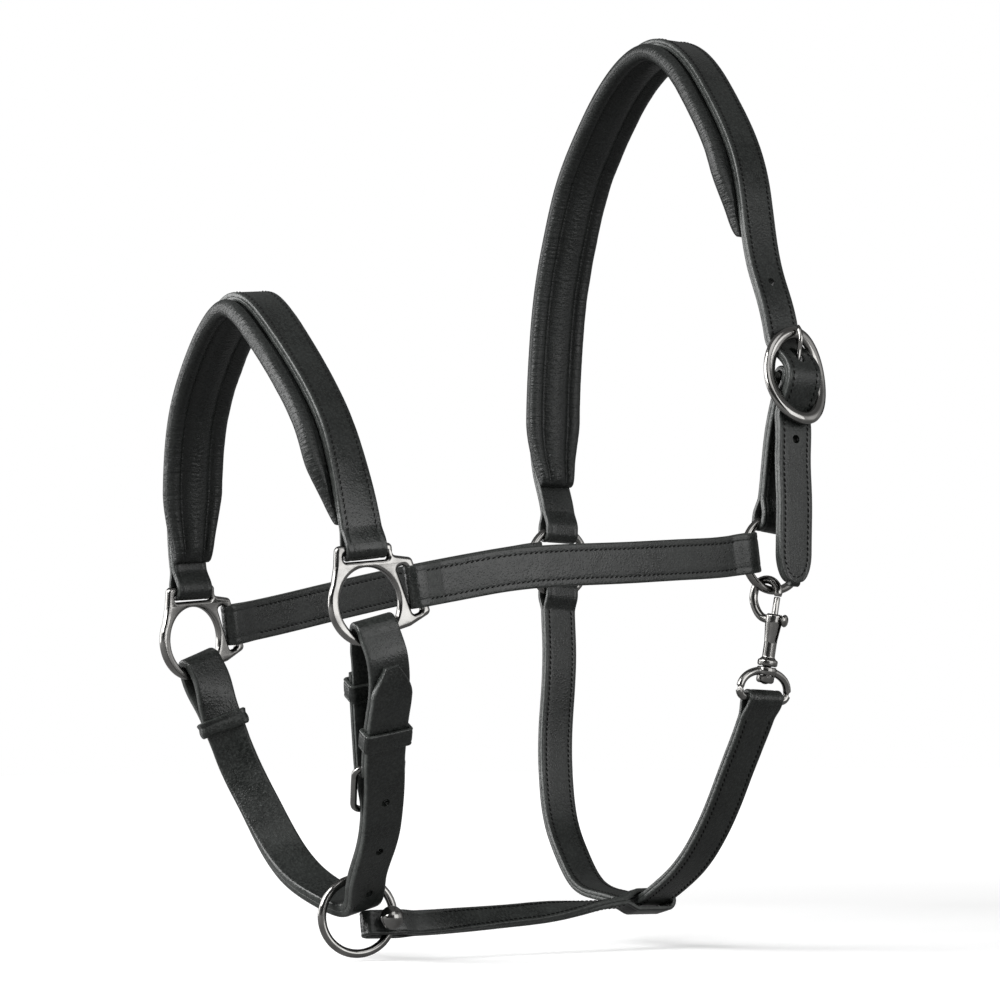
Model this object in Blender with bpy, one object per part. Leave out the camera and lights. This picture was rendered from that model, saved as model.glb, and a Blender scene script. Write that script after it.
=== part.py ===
"""Leather horse halter with a padded noseband, a padded crown and a bolt snap.

The halter hangs as it does on a horse's head.  Its origin is the inside of the
crown pad at the top of the poll.  +X points back over the neck, +Y to the
horse's right side and +Z up, so the near (left) side lies at -Y.
Sizes are in millimetres and are turned into metres where a mesh is made.
"""
import math

import bmesh
import bpy
import numpy as np
from mathutils import Vector
from mathutils.geometry import tessellate_polygon

MM = 0.001

# Straps
STRAP_WIDTH = 19.0        # cheeks, noseband, crown, throat and chin
PLY = 2.0                 # one thickness of strap leather
SLIT = 0.3                # between two plies sewn together
GAP = 0.3                 # between touching pieces
CHIN_PLY = 3.2            # the chin strap is cut from thicker leather
CHAPE_PLY = 2.2
CONNECTOR_WIDTH = 11.6

# Where the halter lies on the head
CHEEK_DROP = 246.6        # cheek rings below the inside of the crown
CHEEK_SPAN = 176.8        # between the cheek rings
CHEEK_LEAD = 5.0          # cheek rings in front of the poll
CHEEK_SKEW = 1.9          # the far cheek ring hangs higher by twice this
FACE_LENGTH = 218.5       # cheek rings to nose fittings
NOSE_DROP = 282.2         # nose fittings below the inside of the crown
NOSE_SPAN = 158.0
NOSE_SKEW = 6.2           # the far nose fitting hangs lower by twice this
NOSEBAND_RISE = 148.8     # noseband's top above the nose fittings
NOSEBAND_LEAD = 14.0      # and in front of them
CHIN_DEPTH = 129.6        # bottom of the chin strap below the nose fittings
CHIN_BACK = 43.6          # and behind them
THROAT_DEPTH = 168.0      # bottom of the throat strap below the cheek rings
THROAT_LEAD = 8.6         # and in front of them

# Round rings
RING_RADIUS = 17.2        # to the middle of the wire
RING_WIRE = 2.0
EYE_EASE = 0.8            # play of a strap's eye round its wire

# Nose fitting: a plate with a ring, a top slot and a slanted side slot
FITTING_HALF_THICK = 2.1
FITTING_EDGE = 1.0
HOLE_HALF_WIDTH = 13.75
HOLE_HALF_HEIGHT = 15.6
FRONT_BAR = 5.0
REAR_BAR = 3.8
BOTTOM_BAR = 3.8
WEB = 2.4                 # between the ring hole and the top slot
TOP_SLOT = 3.7
TOP_BAR = 4.0
FRONT_POST = 4.6
REAR_POST = 2.4
SLOT_EASE = 0.8           # each side of a strap in the top slot
SIDE_EASE = 1.5           # and in the side slot, where it runs askew
SIDE_REACH = 23.2         # middle of the side bar behind the ring's middle
SIDE_RISE = 5.5
SIDE_SLANT = 16.5
SIDE_BAR = 4.0
SIDE_SLOT = 4.4

# Pads
PAD_WIDTH = 32.0
PAD_DEPTH = 10.3          # strap's middle to the pad's inner crest
ROLL_WIDTH = 8.2          # each edge roll beside the middle one
ROLL_DEPTH = 8.4
GROOVE_DEPTH = 3.2        # channel between two rolls
PAD_ROUND = 10.0          # length over which an end thins off
PAD_TAPER = 36.0          # and over which it narrows to the strap
PAD_SHIFT = (-2.6, 0.8)   # pad's middle behind the strap's, near side and far side

# Crown buckle
BUCKLE_RISE = 83.2        # its bar above the near cheek ring
BUCKLE_OUT = 10.0         # and outward of it
BUCKLE_HALF_WIDTH = 15.7
BUCKLE_HALF_LENGTH = 21.8
BUCKLE_WIRE = 2.3
BUCKLE_BAR = 1.9
BUCKLE_BOW = 3.6          # the ends bow out from the bar
BUCKLE_TILT = 12.0        # degrees, its top leans in
TONGUE = 1.2
TONGUE_TUBE = 1.1         # wall of a tongue's tube round its bar
BILLET_DROP = 96.5       # the crown's tip below the buckle's bar
HOLE_RADIUS = 2.0

# Bolt snap and its swivel
SNAP_WIRE = 2.0
HOOK_RADIUS = 6.0         # to the middle of the hook's wire
BOLT_RADIUS = 1.5
BOLT_TRAVEL = 9.0
BARREL_TOP = 11.0         # down the swivel's axis from the hook's middle
BARREL_LENGTH = 21.5
BARREL_RADIUS = 4.0
COLLAR_RADIUS = 4.75
COLLAR_HEIGHT = 3.2
SWIVEL_PIN = 1.8
BOSS_HEIGHT = 3.8
NUT_HEIGHT = 3.6
DEE_HALF_WIDTH = 13.9
DEE_WIRE = 1.9
DEE_DEPTH = 15.2          # from the boss down to the strap's bar

# Chin fastening
CHIN_BAR = 1.5
CHIN_BUCKLE_LENGTH = 24.0
HEEL_DEPTH = 66.0         # heel bar along the chin strap from the near fitting
BELLY = 7.6               # half of the chape's bulge over its bar
KEEPER = 1.5              # a keeper's leather
KEEPER_HEIGHT = 9.0
KEEPER_FAR_HEIGHT = 7.5
CHIN_HOLE = 17.0          # the hole in use, past the heel bar
CHIN_HOLE_PITCH = 28.0
CHIN_TIP = 12.5           # the strap's outer end, past the near fitting
CHIN_INNER_END = 24.0     # and its inner one
KEEPER_AT = (43.2, 27.5, 33.5)    # outer and inner past the near fitting, far one before its own

# Stud on the connector
STUD_BALL = 5.5
STUD_POST = 1.5
STUD_SET = 5.5            # inside the chin ring's wire

# Finishes: colour, roughness, metallic
LEATHER = ("black_leather", (0.020, 0.020, 0.021), 0.50, 0.0)
SOFT = ("padding_leather", (0.018, 0.018, 0.019), 0.60, 0.0)
NICKEL = ("dark_nickel", (0.34, 0.33, 0.32), 0.20, 1.0)

HALF = STRAP_WIDTH / 2
PITCH = (PLY + SLIT) / 2                 # each ply's middle from the strap's middle
THICK = 2 * PLY + SLIT
CHIN_PITCH = (CHIN_PLY + SLIT) / 2
EYE_CENTRE = math.sqrt(RING_RADIUS ** 2 - HALF ** 2) + 0.15
RING_EYE = RING_WIRE + EYE_EASE + PLY / 2
RING_SLACK = RING_RADIUS - EYE_CENTRE

UP = np.array((0.0, 0.0, 1.0))
BACK = np.array((1.0, 0.0, 0.0))


def unit(v):
    """The vector at length one."""
    v = np.asarray(v, float)
    return v / np.linalg.norm(v)


def square(v, axis):
    """The part of v square to the axis, at length one."""
    axis = unit(axis)
    v = np.asarray(v, float)
    return unit(v - np.dot(v, axis) * axis)


# Meshes


def make(name, verts, faces, finish, origin=(0.0, 0.0, 0.0), crease=40.0):
    """One object from points in millimetres, its faces turned outward."""
    origin = np.asarray(origin, float)
    mesh = bpy.data.meshes.new(name)
    mesh.from_pydata([tuple((np.asarray(v) - origin) * MM) for v in verts], [], faces)
    bm = bmesh.new()
    bm.from_mesh(mesh)
    bmesh.ops.recalc_face_normals(bm, faces=bm.faces)
    if bm.calc_volume(signed=True) < 0.0:
        bmesh.ops.reverse_faces(bm, faces=bm.faces)
    bmesh.ops.triangulate(bm, faces=[f for f in bm.faces if twisted(f)])
    bm.to_mesh(mesh)
    bm.free()
    mesh.shade_smooth()
    mesh.set_sharp_from_angle(angle=math.radians(crease))
    mesh.materials.append(material(finish))
    ob = bpy.data.objects.new(name, mesh)
    ob.location = Vector(origin * MM)
    bpy.context.collection.objects.link(ob)
    return ob


def twisted(face):
    """Whether a face's corners lie off one plane."""
    middle = face.calc_center_median()
    return max(abs((v.co - middle).dot(face.normal)) for v in face.verts) > 0.001 * MM


def material(finish):
    """The Principled material of a finish, made once."""
    name, colour, rough, metal = finish
    found = bpy.data.materials.get(name)
    if found:
        return found
    found = bpy.data.materials.new(name)
    found.use_nodes = True
    shader = found.node_tree.nodes["Principled BSDF"]
    shader.inputs["Base Color"].default_value = (*colour, 1.0)
    shader.inputs["Roughness"].default_value = rough
    shader.inputs["Metallic"].default_value = metal
    return found


def combine(ob, others, how):
    """Apply Booleans between an object and its helpers, then drop the helpers."""
    for other in others:
        mod = ob.modifiers.new(how.lower(), "BOOLEAN")
        mod.operation = how
        mod.solver = "EXACT"
        mod.object = other
    bpy.context.view_layer.update()
    graph = bpy.context.evaluated_depsgraph_get()
    mesh = bpy.data.meshes.new_from_object(ob.evaluated_get(graph))
    ob.modifiers.clear()
    ob.data = mesh
    for other in others:
        bpy.data.objects.remove(other, do_unlink=True)
    ob.data.set_sharp_from_angle(angle=math.radians(40.0))
    return ob


def skin(rings, closed):
    """Points and faces over equal rings: a closed loop of rings, or capped ends."""
    count, size = len(rings), len(rings[0])
    verts = [p for ring in rings for p in ring]
    faces = []
    for i in range(count if closed else count - 1):
        a, b = i * size, (i + 1) % count * size
        for j in range(size):
            k = (j + 1) % size
            faces.append((a + j, a + k, b + k, b + j))
    if not closed:
        faces.append(tuple(reversed(range(size))))
        faces.append(tuple(range((count - 1) * size, count * size)))
    return verts, faces


def tube(path, radius, ref, sides=8, closed=False):
    """A round bar along a path; ref is a direction the path never takes."""
    path = np.asarray(path, float)
    count = len(path)
    radii = np.broadcast_to(radius, (count,))
    rings = []
    for i in range(count):
        before = path[i - 1] if closed or i else path[0]
        after = path[(i + 1) % count] if closed or i < count - 1 else path[-1]
        tangent = unit(after - before)
        side = square(ref, tangent)
        rise = np.cross(tangent, side)
        ring = []
        for j in range(sides):
            a = 2 * math.pi * (j + 0.5) / sides
            ring.append(path[i] + radii[i] * (math.cos(a) * side + math.sin(a) * rise))
        rings.append(ring)
    return skin(rings, closed)


def domed(path, radius, tip=None):
    """A path and its radii with both ends rounded, for a bar of one radius or a taper."""
    path = np.asarray(path, float)
    radii = np.array(np.broadcast_to(radius, (len(path),)), float)
    tip = radii[-1] if tip is None else tip
    radii[-1] = tip
    ends = []
    for at, before, r in ((path[0], path[1], radii[0]), (path[-1], path[-2], radii[-1])):
        away = unit(at - before)
        ends.append([(at + away * r * math.sin(a), r * math.cos(a))
                     for a in (math.radians(38), math.radians(72))])
    first, last = ends
    path = [p for p, _ in reversed(first)] + list(path) + [p for p, _ in last]
    radii = [r for _, r in reversed(first)] + list(radii) + [r for _, r in last]
    return np.array(path), np.array(radii)


def turned(profile, centre, axis, ref, sides=20, closed=False):
    """A turned piece: (radius, height) points spun round an axis."""
    axis = unit(axis)
    side = square(ref, axis)
    rise = np.cross(axis, side)
    verts, rows = [], []
    for r, h in profile:
        if r <= 0.0:
            rows.append([len(verts)])
            verts.append(centre + h * axis)
            continue
        rows.append(list(range(len(verts), len(verts) + sides)))
        for j in range(sides):
            a = 2 * math.pi * j / sides
            verts.append(centre + h * axis + r * (math.cos(a) * side + math.sin(a) * rise))
    faces = []
    pairs = list(zip(rows, rows[1:])) + ([(rows[-1], rows[0])] if closed else [])
    for a, b in pairs:
        for j in range(sides):
            k = (j + 1) % sides
            if len(a) == 1:
                faces.append((a[0], b[k], b[j]))
            elif len(b) == 1:
                faces.append((a[j], a[k], b[0]))
            else:
                faces.append((a[j], a[k], b[k], b[j]))
    return verts, faces


def ring_path(centre, normal, ref, a, b=None, count=28):
    """Points round an ellipse, a along ref and b square to it."""
    b = a if b is None else b
    side = square(ref, normal)
    rise = np.cross(unit(normal), side)
    turns = [2 * math.pi * (i + 0.5) / count for i in range(count)]
    return [centre + a * math.cos(t) * side + b * math.sin(t) * rise for t in turns]


def rounded(corners, step=32.0):
    """An outline's points from its corners (x, y, fillet radius)."""
    points = []
    for i, (x, y, r) in enumerate(corners):
        p = np.array((x, y))
        if r <= 0.0:
            points.append(p)
            continue
        a = unit(np.array(corners[i - 1][:2]) - p)
        b = unit(np.array(corners[(i + 1) % len(corners)][:2]) - p)
        half = 0.5 * math.acos(max(-1.0, min(1.0, float(np.dot(a, b)))))
        centre = p + unit(a + b) * r / math.sin(half)
        start = p + a * r / math.tan(half) - centre
        end = p + b * r / math.tan(half) - centre
        first = math.atan2(start[1], start[0])
        sweep = math.atan2(end[1], end[0]) - first
        sweep = (sweep + math.pi) % (2 * math.pi) - math.pi
        count = max(1, round(abs(math.degrees(sweep)) / step))
        for j in range(count + 1):
            t = first + sweep * j / count
            points.append(centre + r * np.array((math.cos(t), math.sin(t))))
    return points


def ellipse(a, b, start, end, count, middle=0.0):
    """Points of an ellipse between two angles in degrees, as corners without fillets."""
    turns = np.radians(np.linspace(start, end, count))
    return [(middle + a * math.cos(t), b * math.sin(t), 0.0) for t in turns]


def inset(loop, depth):
    """A closed outline moved to its left by a depth, mitred at its corners."""
    moved = []
    for i, p in enumerate(loop):
        a = unit(p - loop[i - 1])
        b = unit(loop[(i + 1) % len(loop)] - p)
        left = np.array((-a[1] - b[1], a[0] + b[0]))
        size = np.linalg.norm(left)
        moved.append(p + left / size * depth / max(size / 2, 0.75))
    return moved


def plate(loops, half, edge, place):
    """A plate with rounded edges; the outline runs left about, its holes right about."""
    verts, faces, caps = [], [], []
    for loop in loops:
        inner = inset(loop, edge)
        levels = ((inner, half), (loop, half - edge), (loop, edge - half), (inner, -half))
        start, size = len(verts), len(loop)
        for points, height in levels:
            verts.extend(place(p[0], p[1], height) for p in points)
        for level in range(3):
            a = start + level * size
            b = a + size
            for j in range(size):
                k = (j + 1) % size
                faces.append((a + j, a + k, b + k, b + j))
        caps.append((inner, start, size))
    index = [(start + j, 3 * size) for _, start, size in caps for j in range(size)]
    polygons = [[Vector((p[0], p[1], 0.0)) for p in inner] for inner, _, _ in caps]
    for tri in tessellate_polygon(polygons):
        faces.append(tuple(index[i][0] for i in tri))
        faces.append(tuple(index[i][0] + index[i][1] for i in reversed(tri)))
    return verts, faces


# Routes of the straps


class Route:
    """A smooth line through points, with the strap's width direction along it.

    Places on it are given in strap measure: s along the line, n out from the
    head and w across the strap.
    """

    def __init__(self, points, widths, side):
        self.points = np.array(points, float)
        steps = np.linalg.norm(np.diff(self.points, axis=0), axis=1)
        self.at = np.concatenate(([0.0], np.cumsum(steps)))
        self.bend = self.bends(steps)
        self.widths = [(self.at[i], unit(w)) for i, w in widths]
        self.side = side

    def bends(self, h):
        """Second derivatives of the natural cubic line at its points."""
        p, count = self.points, len(self.points)
        left, right = np.eye(count), np.zeros((count, 3))
        for i in range(1, count - 1):
            left[i, i - 1:i + 2] = h[i - 1], 2 * (h[i - 1] + h[i]), h[i]
            right[i] = 6 * ((p[i + 1] - p[i]) / h[i] - (p[i] - p[i - 1]) / h[i - 1])
        return np.linalg.solve(left, right)

    def width(self, s):
        """The width direction asked for at s, between the given ones."""
        for (s0, w0), (s1, w1) in zip(self.widths, self.widths[1:]):
            if s <= s1:
                t = min(max((s - s0) / (s1 - s0), 0.0), 1.0)
                t = t * t * (3 - 2 * t)
                return unit((1 - t) * w0 + t * w1)
        return self.widths[-1][1]

    def frame(self, s):
        """Point, direction, width and outward direction at s; straight past the ends."""
        u = min(max(s, self.at[0]), self.at[-1])
        i = min(max(int(np.searchsorted(self.at, u)) - 1, 0), len(self.at) - 2)
        h, t = self.at[i + 1] - self.at[i], u - self.at[i]
        p0, p1 = self.points[i], self.points[i + 1]
        m0, m1 = self.bend[i], self.bend[i + 1]
        slope = (p1 - p0) / h - h * (2 * m0 + m1) / 6
        point = p0 + slope * t + m0 * t * t / 2 + (m1 - m0) * t ** 3 / (6 * h)
        along = unit(slope + m0 * t + (m1 - m0) * t * t / (2 * h))
        hint = self.width(s)
        across = hint / np.linalg.norm(hint - np.dot(hint, along) * along)
        return point + (s - u) * along, along, across, self.side * unit(np.cross(across, along))

    def place(self, s, n=0.0, w=0.0):
        """The point in space of a place on the strap."""
        point, _, across, out = self.frame(s)
        return point + n * out + w * across

    def marks(self, a, b, turn=13.0, reach=36.0, twist=8.0):
        """Stations from a to b, closer where the line turns."""
        fine = np.linspace(a, b, max(int(b - a), 8) + 1)
        frames = [self.frame(s) for s in fine]
        cost = [0.0]
        for i in range(1, len(fine)):
            (_, line, _, out), (_, after, wide, _) = frames[i - 1:i + 1]
            bend = math.degrees(math.acos(min(1.0, float(np.dot(line, after)))))
            roll = math.degrees(abs(float(np.dot(out, wide))))
            cost.append(cost[-1] + bend / turn + roll / twist + (fine[i] - fine[i - 1]) / reach)
        return list(np.interp(np.linspace(0, cost[-1], math.ceil(cost[-1]) + 1), cost, fine))


def hang(a, b, rows):
    """Points from a to b; each row leads in X and has its shares across and down."""
    a, b = np.asarray(a), np.asarray(b)
    return [a + (b - a) * (fall, across, fall) + (lead, 0.0, 0.0) for lead, across, fall in rows]


def run(a, b, rows):
    """Points from a to b; each row has its share along, its bow outward and its rise."""
    a, b = np.asarray(a), np.asarray(b)
    out = math.copysign(1.0, a[1])
    return [a + (b - a) * (along, along, rise) + (0.0, out * bow, 0.0) for along, bow, rise in rows]


# Straps


def arc(s, radius, start, end, count=6):
    """Places round a fold centred at s, without its two ends."""
    turns = np.radians(np.linspace(start, end, count + 1))[1:-1]
    return [(s + radius * math.cos(t), radius * math.sin(t)) for t in turns]


def fold(d, radius, slack, taper, pitch):
    """Half spacing of the plies at a distance d from the middle of a fold."""
    t = min(max((d - slack) / taper, 0.0), 1.0)
    return radius + (pitch - radius) * t * t * (3 - 2 * t)


def ribbon(route, line, ply, half):
    """One ply swept along (s, n) places that close on themselves; half(s) is its width."""
    rings = []
    for i, p in enumerate(line):
        a = unit(np.subtract(p, line[i - 1]))
        b = unit(np.subtract(line[(i + 1) % len(line)], p))
        rings.append(section(route, p, a, b, ply, half(p[0])))
    return skin(rings, True)


def section(route, p, a, b, ply, half):
    """The leather's cross-section at a place between directions a and b."""
    normal = np.array((-a[1] - b[1], a[0] + b[0]))
    size = np.linalg.norm(normal)
    normal = normal / size * (ply / 2) / max(size / 2, 0.7)
    edge = min(0.35 * ply, 0.4 * half)
    outline = ((1, edge - half), (1, half - edge), (0, half),
               (-1, half - edge), (-1, edge - half), (0, -half))
    return [route.place(p[0] + k * normal[0], p[1] + k * normal[1], w) for k, w in outline]


class Eye:
    """A fold round a bar: s of the bar, the ply's middle radius, slack and taper."""

    def __init__(self, s, radius, slack=1.0, taper=9.0):
        self.s, self.radius, self.slack, self.taper = s, radius, slack, taper

    def offsets(self):
        """Where the plies bend on their way from the bar."""
        return [0.0] + [self.slack + self.taper * t for t in (0.0, 0.3, 0.6, 1.0)]

    def clear(self):
        """Distance from the bar at which the plies lie together."""
        return self.slack + self.taper


def doubled(route, start, end, marks, pitch=PITCH):
    """Places of a strap folded round two bars, out along one ply and back the other."""
    stations = [start.s + d for d in start.offsets()[:-1]] + list(marks)
    stations += [end.s - d for d in reversed(end.offsets()[:-1])]
    spacing = []
    for s in stations:
        near = fold(s - start.s, start.radius, start.slack, start.taper, pitch)
        far = fold(end.s - s, end.radius, end.slack, end.taper, pitch)
        spacing.append(max(near, far))
    line = list(zip(stations, spacing)) + arc(end.s, end.radius, 90, -90)
    line += [(s, -n) for s, n in reversed(list(zip(stations, spacing)))]
    return line + arc(start.s, start.radius, -90, -270)


def strap(name, route, start, end, extra=(), ply=PLY, half=HALF, pitch=PITCH, twist=8.0):
    """A two-ply strap between two folds; extra stations line up with what lies on it."""
    marks = route.marks(start.s + start.clear(), end.s - end.clear(), twist=twist)
    marks = merged(marks, extra)
    line = doubled(route, start, end, marks, pitch)
    return make(name, *ribbon(route, line, ply, lambda s: half), LEATHER), marks


def merged(marks, extra):
    """Stations with the extra ones added, and near doubles of those left out."""
    kept = [s for s in marks[1:-1] if all(abs(s - e) > 2.5 for e in extra)]
    return sorted([marks[0], *kept, *extra, marks[-1]])


def pad_outline():
    """The pad's cross-section (w, n): flat under the strap, three rolls inside."""
    top = -(THICK / 2 + GAP + 0.15)
    low = -PAD_DEPTH
    roll = ROLL_WIDTH / 2
    middle = PAD_WIDTH / 2 - roll
    level = low + 1.0 + ROLL_DEPTH / 2
    half = [(0.0, top), (HALF - 0.4, top)]
    for turn in range(130, -147, -46):
        t = math.radians(turn)
        half.append((middle + roll * math.cos(t), level + ROLL_DEPTH / 2 * math.sin(t)))
    groove = PAD_WIDTH / 2 - ROLL_WIDTH
    half.append((groove - 0.1, low + GROOVE_DEPTH))
    for turn in (54, 22, 0):
        t = math.radians(turn)
        half.append((groove * math.sin(t), low + (level - low) * (1 - math.cos(t))))
    return half + [(-w, n) for w, n in reversed(half[1:-1])]


def pad(name, route, a, b, marks, shifts):
    """A long cushion under a strap from a to b, narrowed and drawn in at both ends.

    It lies off the strap's middle by the first shift at a and the second at b."""
    outline = pad_outline()
    top = outline[0][1]
    least = (HALF + 1.2) / (PAD_WIDTH / 2)
    stations = [s for s in marks if a - 0.01 <= s <= b + 0.01]
    rings = []
    for s in stations:
        d = min(s - a, b - s)
        t = math.sqrt(max(0.0, 1 - (1 - min(d / PAD_ROUND, 1.0)) ** 2))
        deep = 0.35 + 0.65 * t
        full = settle(d, 0.0, PAD_TAPER, 0.0, 1.0)
        wide = (least + (1 - least) * full) * (0.9 + 0.1 * t)
        shift = full * settle(s, a, b, *shifts)
        ring = [(w * wide + shift, top + (n - top) * deep) for w, n in outline]
        rings.append([route.place(s, beside(w, n, top), w) for w, n in ring])
    return make(name, *skin(rings, False), SOFT)


def beside(w, n, top):
    """Height n of the pad's surface at w, kept below the strap and clear of its edges."""
    return min(n, top + max(0.0, abs(w) - HALF - 1.0) * 1.1)


def settle(s, start, end, a, b):
    """Ease from a to b between two places."""
    t = min(max((s - start) / (end - start), 0.0), 1.0)
    return a + (b - a) * t * t * (3 - 2 * t)


def pad_ends(a, b):
    """Stations that round a pad's two ends."""
    steps = (0.0, 1.6, 5.0, PAD_ROUND, PAD_TAPER * 0.7, PAD_TAPER)
    return [a + d for d in steps] + [b - d for d in reversed(steps)]


def keeper(name, route, s, height, middle, half_thick, half_wide):
    """A band of leather round what it holds, open along the strap."""
    rings = []
    for grow, end in ((0, 0), (KEEPER, 0), (KEEPER, 0.5), (KEEPER, 1), (0, 1), (0, 0.5)):
        at = s + height * end
        loop = rounded([(x * (half_thick + grow), y * (half_wide + grow), 0.8 + grow)
                        for x, y in ((1, -1), (1, 1), (-1, 1), (-1, -1))], 45.0)
        rings.append([route.place(at, middle(at) + p[0], p[1]) for p in loop])
    return make(name, *skin(rings, True), LEATHER, origin=route.place(s + height / 2))


def hole(route, s, low, high, radius=None):
    """A cutter for a round hole through the strap at s."""
    radius = HOLE_RADIUS if radius is None else radius
    point, along, _, out = route.frame(s)
    profile = [(0, low), (radius, low), (radius, high), (0, high)]
    return make("cutter", *turned(profile, point, out, along, 12), LEATHER)


def slot(route, s0, s1, half, low, high):
    """A cutter for a straight slot along the strap from s0 to s1."""
    point, along, _, out = route.frame((s0 + s1) / 2)
    side = np.cross(out, along)
    loop = rounded([(x * (s1 - s0) / 2, y * half, 0.8 * half)
                    for x, y in ((1, -1), (1, 1), (-1, 1), (-1, -1))], 45.0)
    rings = [[point + p[0] * along + p[1] * side + n * out for p in loop] for n in (low, high)]
    return make("cutter", *skin(rings, False), LEATHER)


# Where the fittings lie


def fitting_axes(side):
    """Rearward and upward directions of a nose fitting; side is -1 near, 1 far."""
    back = unit((0.985, 0.19 * side if side < 0 else 0.10, 0.093))
    return back, square((-0.10, -0.025 - 0.025 * side, 0.995), back)


def nose_centre(side):
    """Middle of a nose fitting's ring."""
    return np.array((-CHEEK_LEAD - FACE_LENGTH, side * NOSE_SPAN / 2,
                     -NOSE_DROP - side * NOSE_SKEW))


def cheek_centre(side):
    """Middle of a cheek ring."""
    return np.array((-CHEEK_LEAD, side * CHEEK_SPAN / 2, -CHEEK_DROP + side * CHEEK_SKEW))


TOP_BAR_RISE = HOLE_HALF_HEIGHT + WEB + TOP_SLOT + TOP_BAR / 2
LOOP_DROP = HOLE_HALF_HEIGHT - 2.6       # fold of the chin strap below the ring's middle
CHIN_SWING = (9.0, 15.0)  # degrees that the near and far folds lie back of the lowest point


def on_fitting(side, u, v, h=0.0):
    """A point of a nose fitting, u back, v up and h through its plate."""
    back, up = fitting_axes(side)
    return nose_centre(side) + u * back + v * up + h * np.cross(back, up)


def chin_loop(side):
    """Middle of the chin strap's fold in a fitting's ring, and its width direction."""
    swing = math.radians(CHIN_SWING[side > 0])
    back, up = fitting_axes(side)
    point = on_fitting(side, LOOP_DROP * math.sin(swing), -LOOP_DROP * math.cos(swing))
    return point, math.cos(swing) * back + math.sin(swing) * up


def side_bar_axis(side):
    """Direction up along the slanted side bar."""
    back, up = fitting_axes(side)
    slant = math.radians(SIDE_SLANT)
    return -math.sin(slant) * back + math.cos(slant) * up


def side_place(along, across):
    """Plate place (u, v) from along the side bar and square to it, rearward."""
    slant = math.radians(SIDE_SLANT)
    return (SIDE_REACH + across * math.cos(slant) - along * math.sin(slant),
            SIDE_RISE + across * math.sin(slant) + along * math.cos(slant))


def nose_fitting(name, side):
    """Ring, top slot and slanted side slot in one rounded plate."""
    slot_half = HALF + SLOT_EASE
    front = HOLE_HALF_WIDTH + FRONT_BAR
    rear = HOLE_HALF_WIDTH + REAR_BAR
    low = HOLE_HALF_HEIGHT + BOTTOM_BAR
    top = TOP_BAR_RISE + TOP_BAR / 2
    side_half = HALF + SIDE_EASE
    long = side_half + 2.0
    outer = SIDE_BAR / 2
    inner = outer + SIDE_SLOT
    upper, lower = side_place(long, outer), side_place(-long, outer)
    neck = slot_half + REAR_POST
    arm = side_place(long, -inner - 1.0)
    corners = ellipse((front + rear) / 2, low, 152, 318, 18, (rear - front) / 2)
    corners += [(lower[0] - 10.2, lower[1] - 5.2, 3.0), (*lower, 2.4), (*upper, 2.4),
                (neck, max(upper[1], arm[1]) + 1.6, 1.6), (neck, top, 2.2),
                (-slot_half - FRONT_POST, top, 3.0),
                (-slot_half - FRONT_POST, HOLE_HALF_HEIGHT - 1.0, 9.0)]
    ring = ellipse(HOLE_HALF_WIDTH, HOLE_HALF_HEIGHT, 345, 0, 24)
    floor = HOLE_HALF_HEIGHT + WEB
    top_slot = [(-slot_half, floor, 1.6), (-slot_half, floor + TOP_SLOT, 1.6),
                (slot_half, floor + TOP_SLOT, 1.6), (slot_half, floor, 1.6)]
    side_slot = [(*side_place(-side_half, -inner), 1.6), (*side_place(side_half, -inner), 1.6),
                 (*side_place(side_half, -outer), 1.6), (*side_place(-side_half, -outer), 1.6)]
    loops = [rounded(corners), rounded(ring), rounded(top_slot, 45.0), rounded(side_slot, 45.0)]
    verts, faces = plate(loops, FITTING_HALF_THICK, FITTING_EDGE,
                         lambda u, v, h: on_fitting(side, u, v, h))
    return make(name, verts, faces, NICKEL)


def round_ring(name, centre, normal, ref):
    """A round wire ring with its origin on its own axis."""
    path = ring_path(centre, normal, ref, RING_RADIUS)
    return make(name, *tube(path, RING_WIRE, normal, closed=True), NICKEL, origin=centre)


# Noseband

NOSE_TOP = np.array((-CHEEK_LEAD - FACE_LENGTH - NOSEBAND_LEAD, 2.0, NOSEBAND_RISE - NOSE_DROP))
BAR_EYE = FITTING_HALF_THICK + 0.7 + PLY / 2


def noseband_route():
    """Up from the near fitting's top bar, over the nose and down to the far one."""
    near, far = on_fitting(-1, 0, TOP_BAR_RISE), on_fitting(1, 0, TOP_BAR_RISE)
    points = [near, *hang(near, NOSE_TOP, ((0, .031, .122), (0, .091, .290), (0, .195, .474),
                                           (0, .366, .642), (0, .659, .856))),
              NOSE_TOP, *hang(NOSE_TOP, far, ((0, .325, .073), (0, .584, .202), (0, .779, .339),
                                              (0, .922, .521), (0, 1.0, .719), (0, 1.02, .878))),
              far]
    widths = [(0, fitting_axes(-1)[0]), (3, (0.99, 0.14, 0.0)), (6, (0.995, 0, 0.1)),
              (13, fitting_axes(1)[0])]
    return Route(points, widths, 1.0)


def noseband():
    """The sewn strap and the rolled pad inside it."""
    route = noseband_route()
    end = route.at[-1]
    start, stop = Eye(0.0, BAR_EYE), Eye(end, BAR_EYE)
    pad_a, pad_b = 12.5, end - 12.5
    _, marks = strap("noseband_strap", route, start, stop, pad_ends(pad_a, pad_b), twist=4.0)
    pad("noseband_pad", route, pad_a, pad_b, marks, PAD_SHIFT)


# Cheeks


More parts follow.
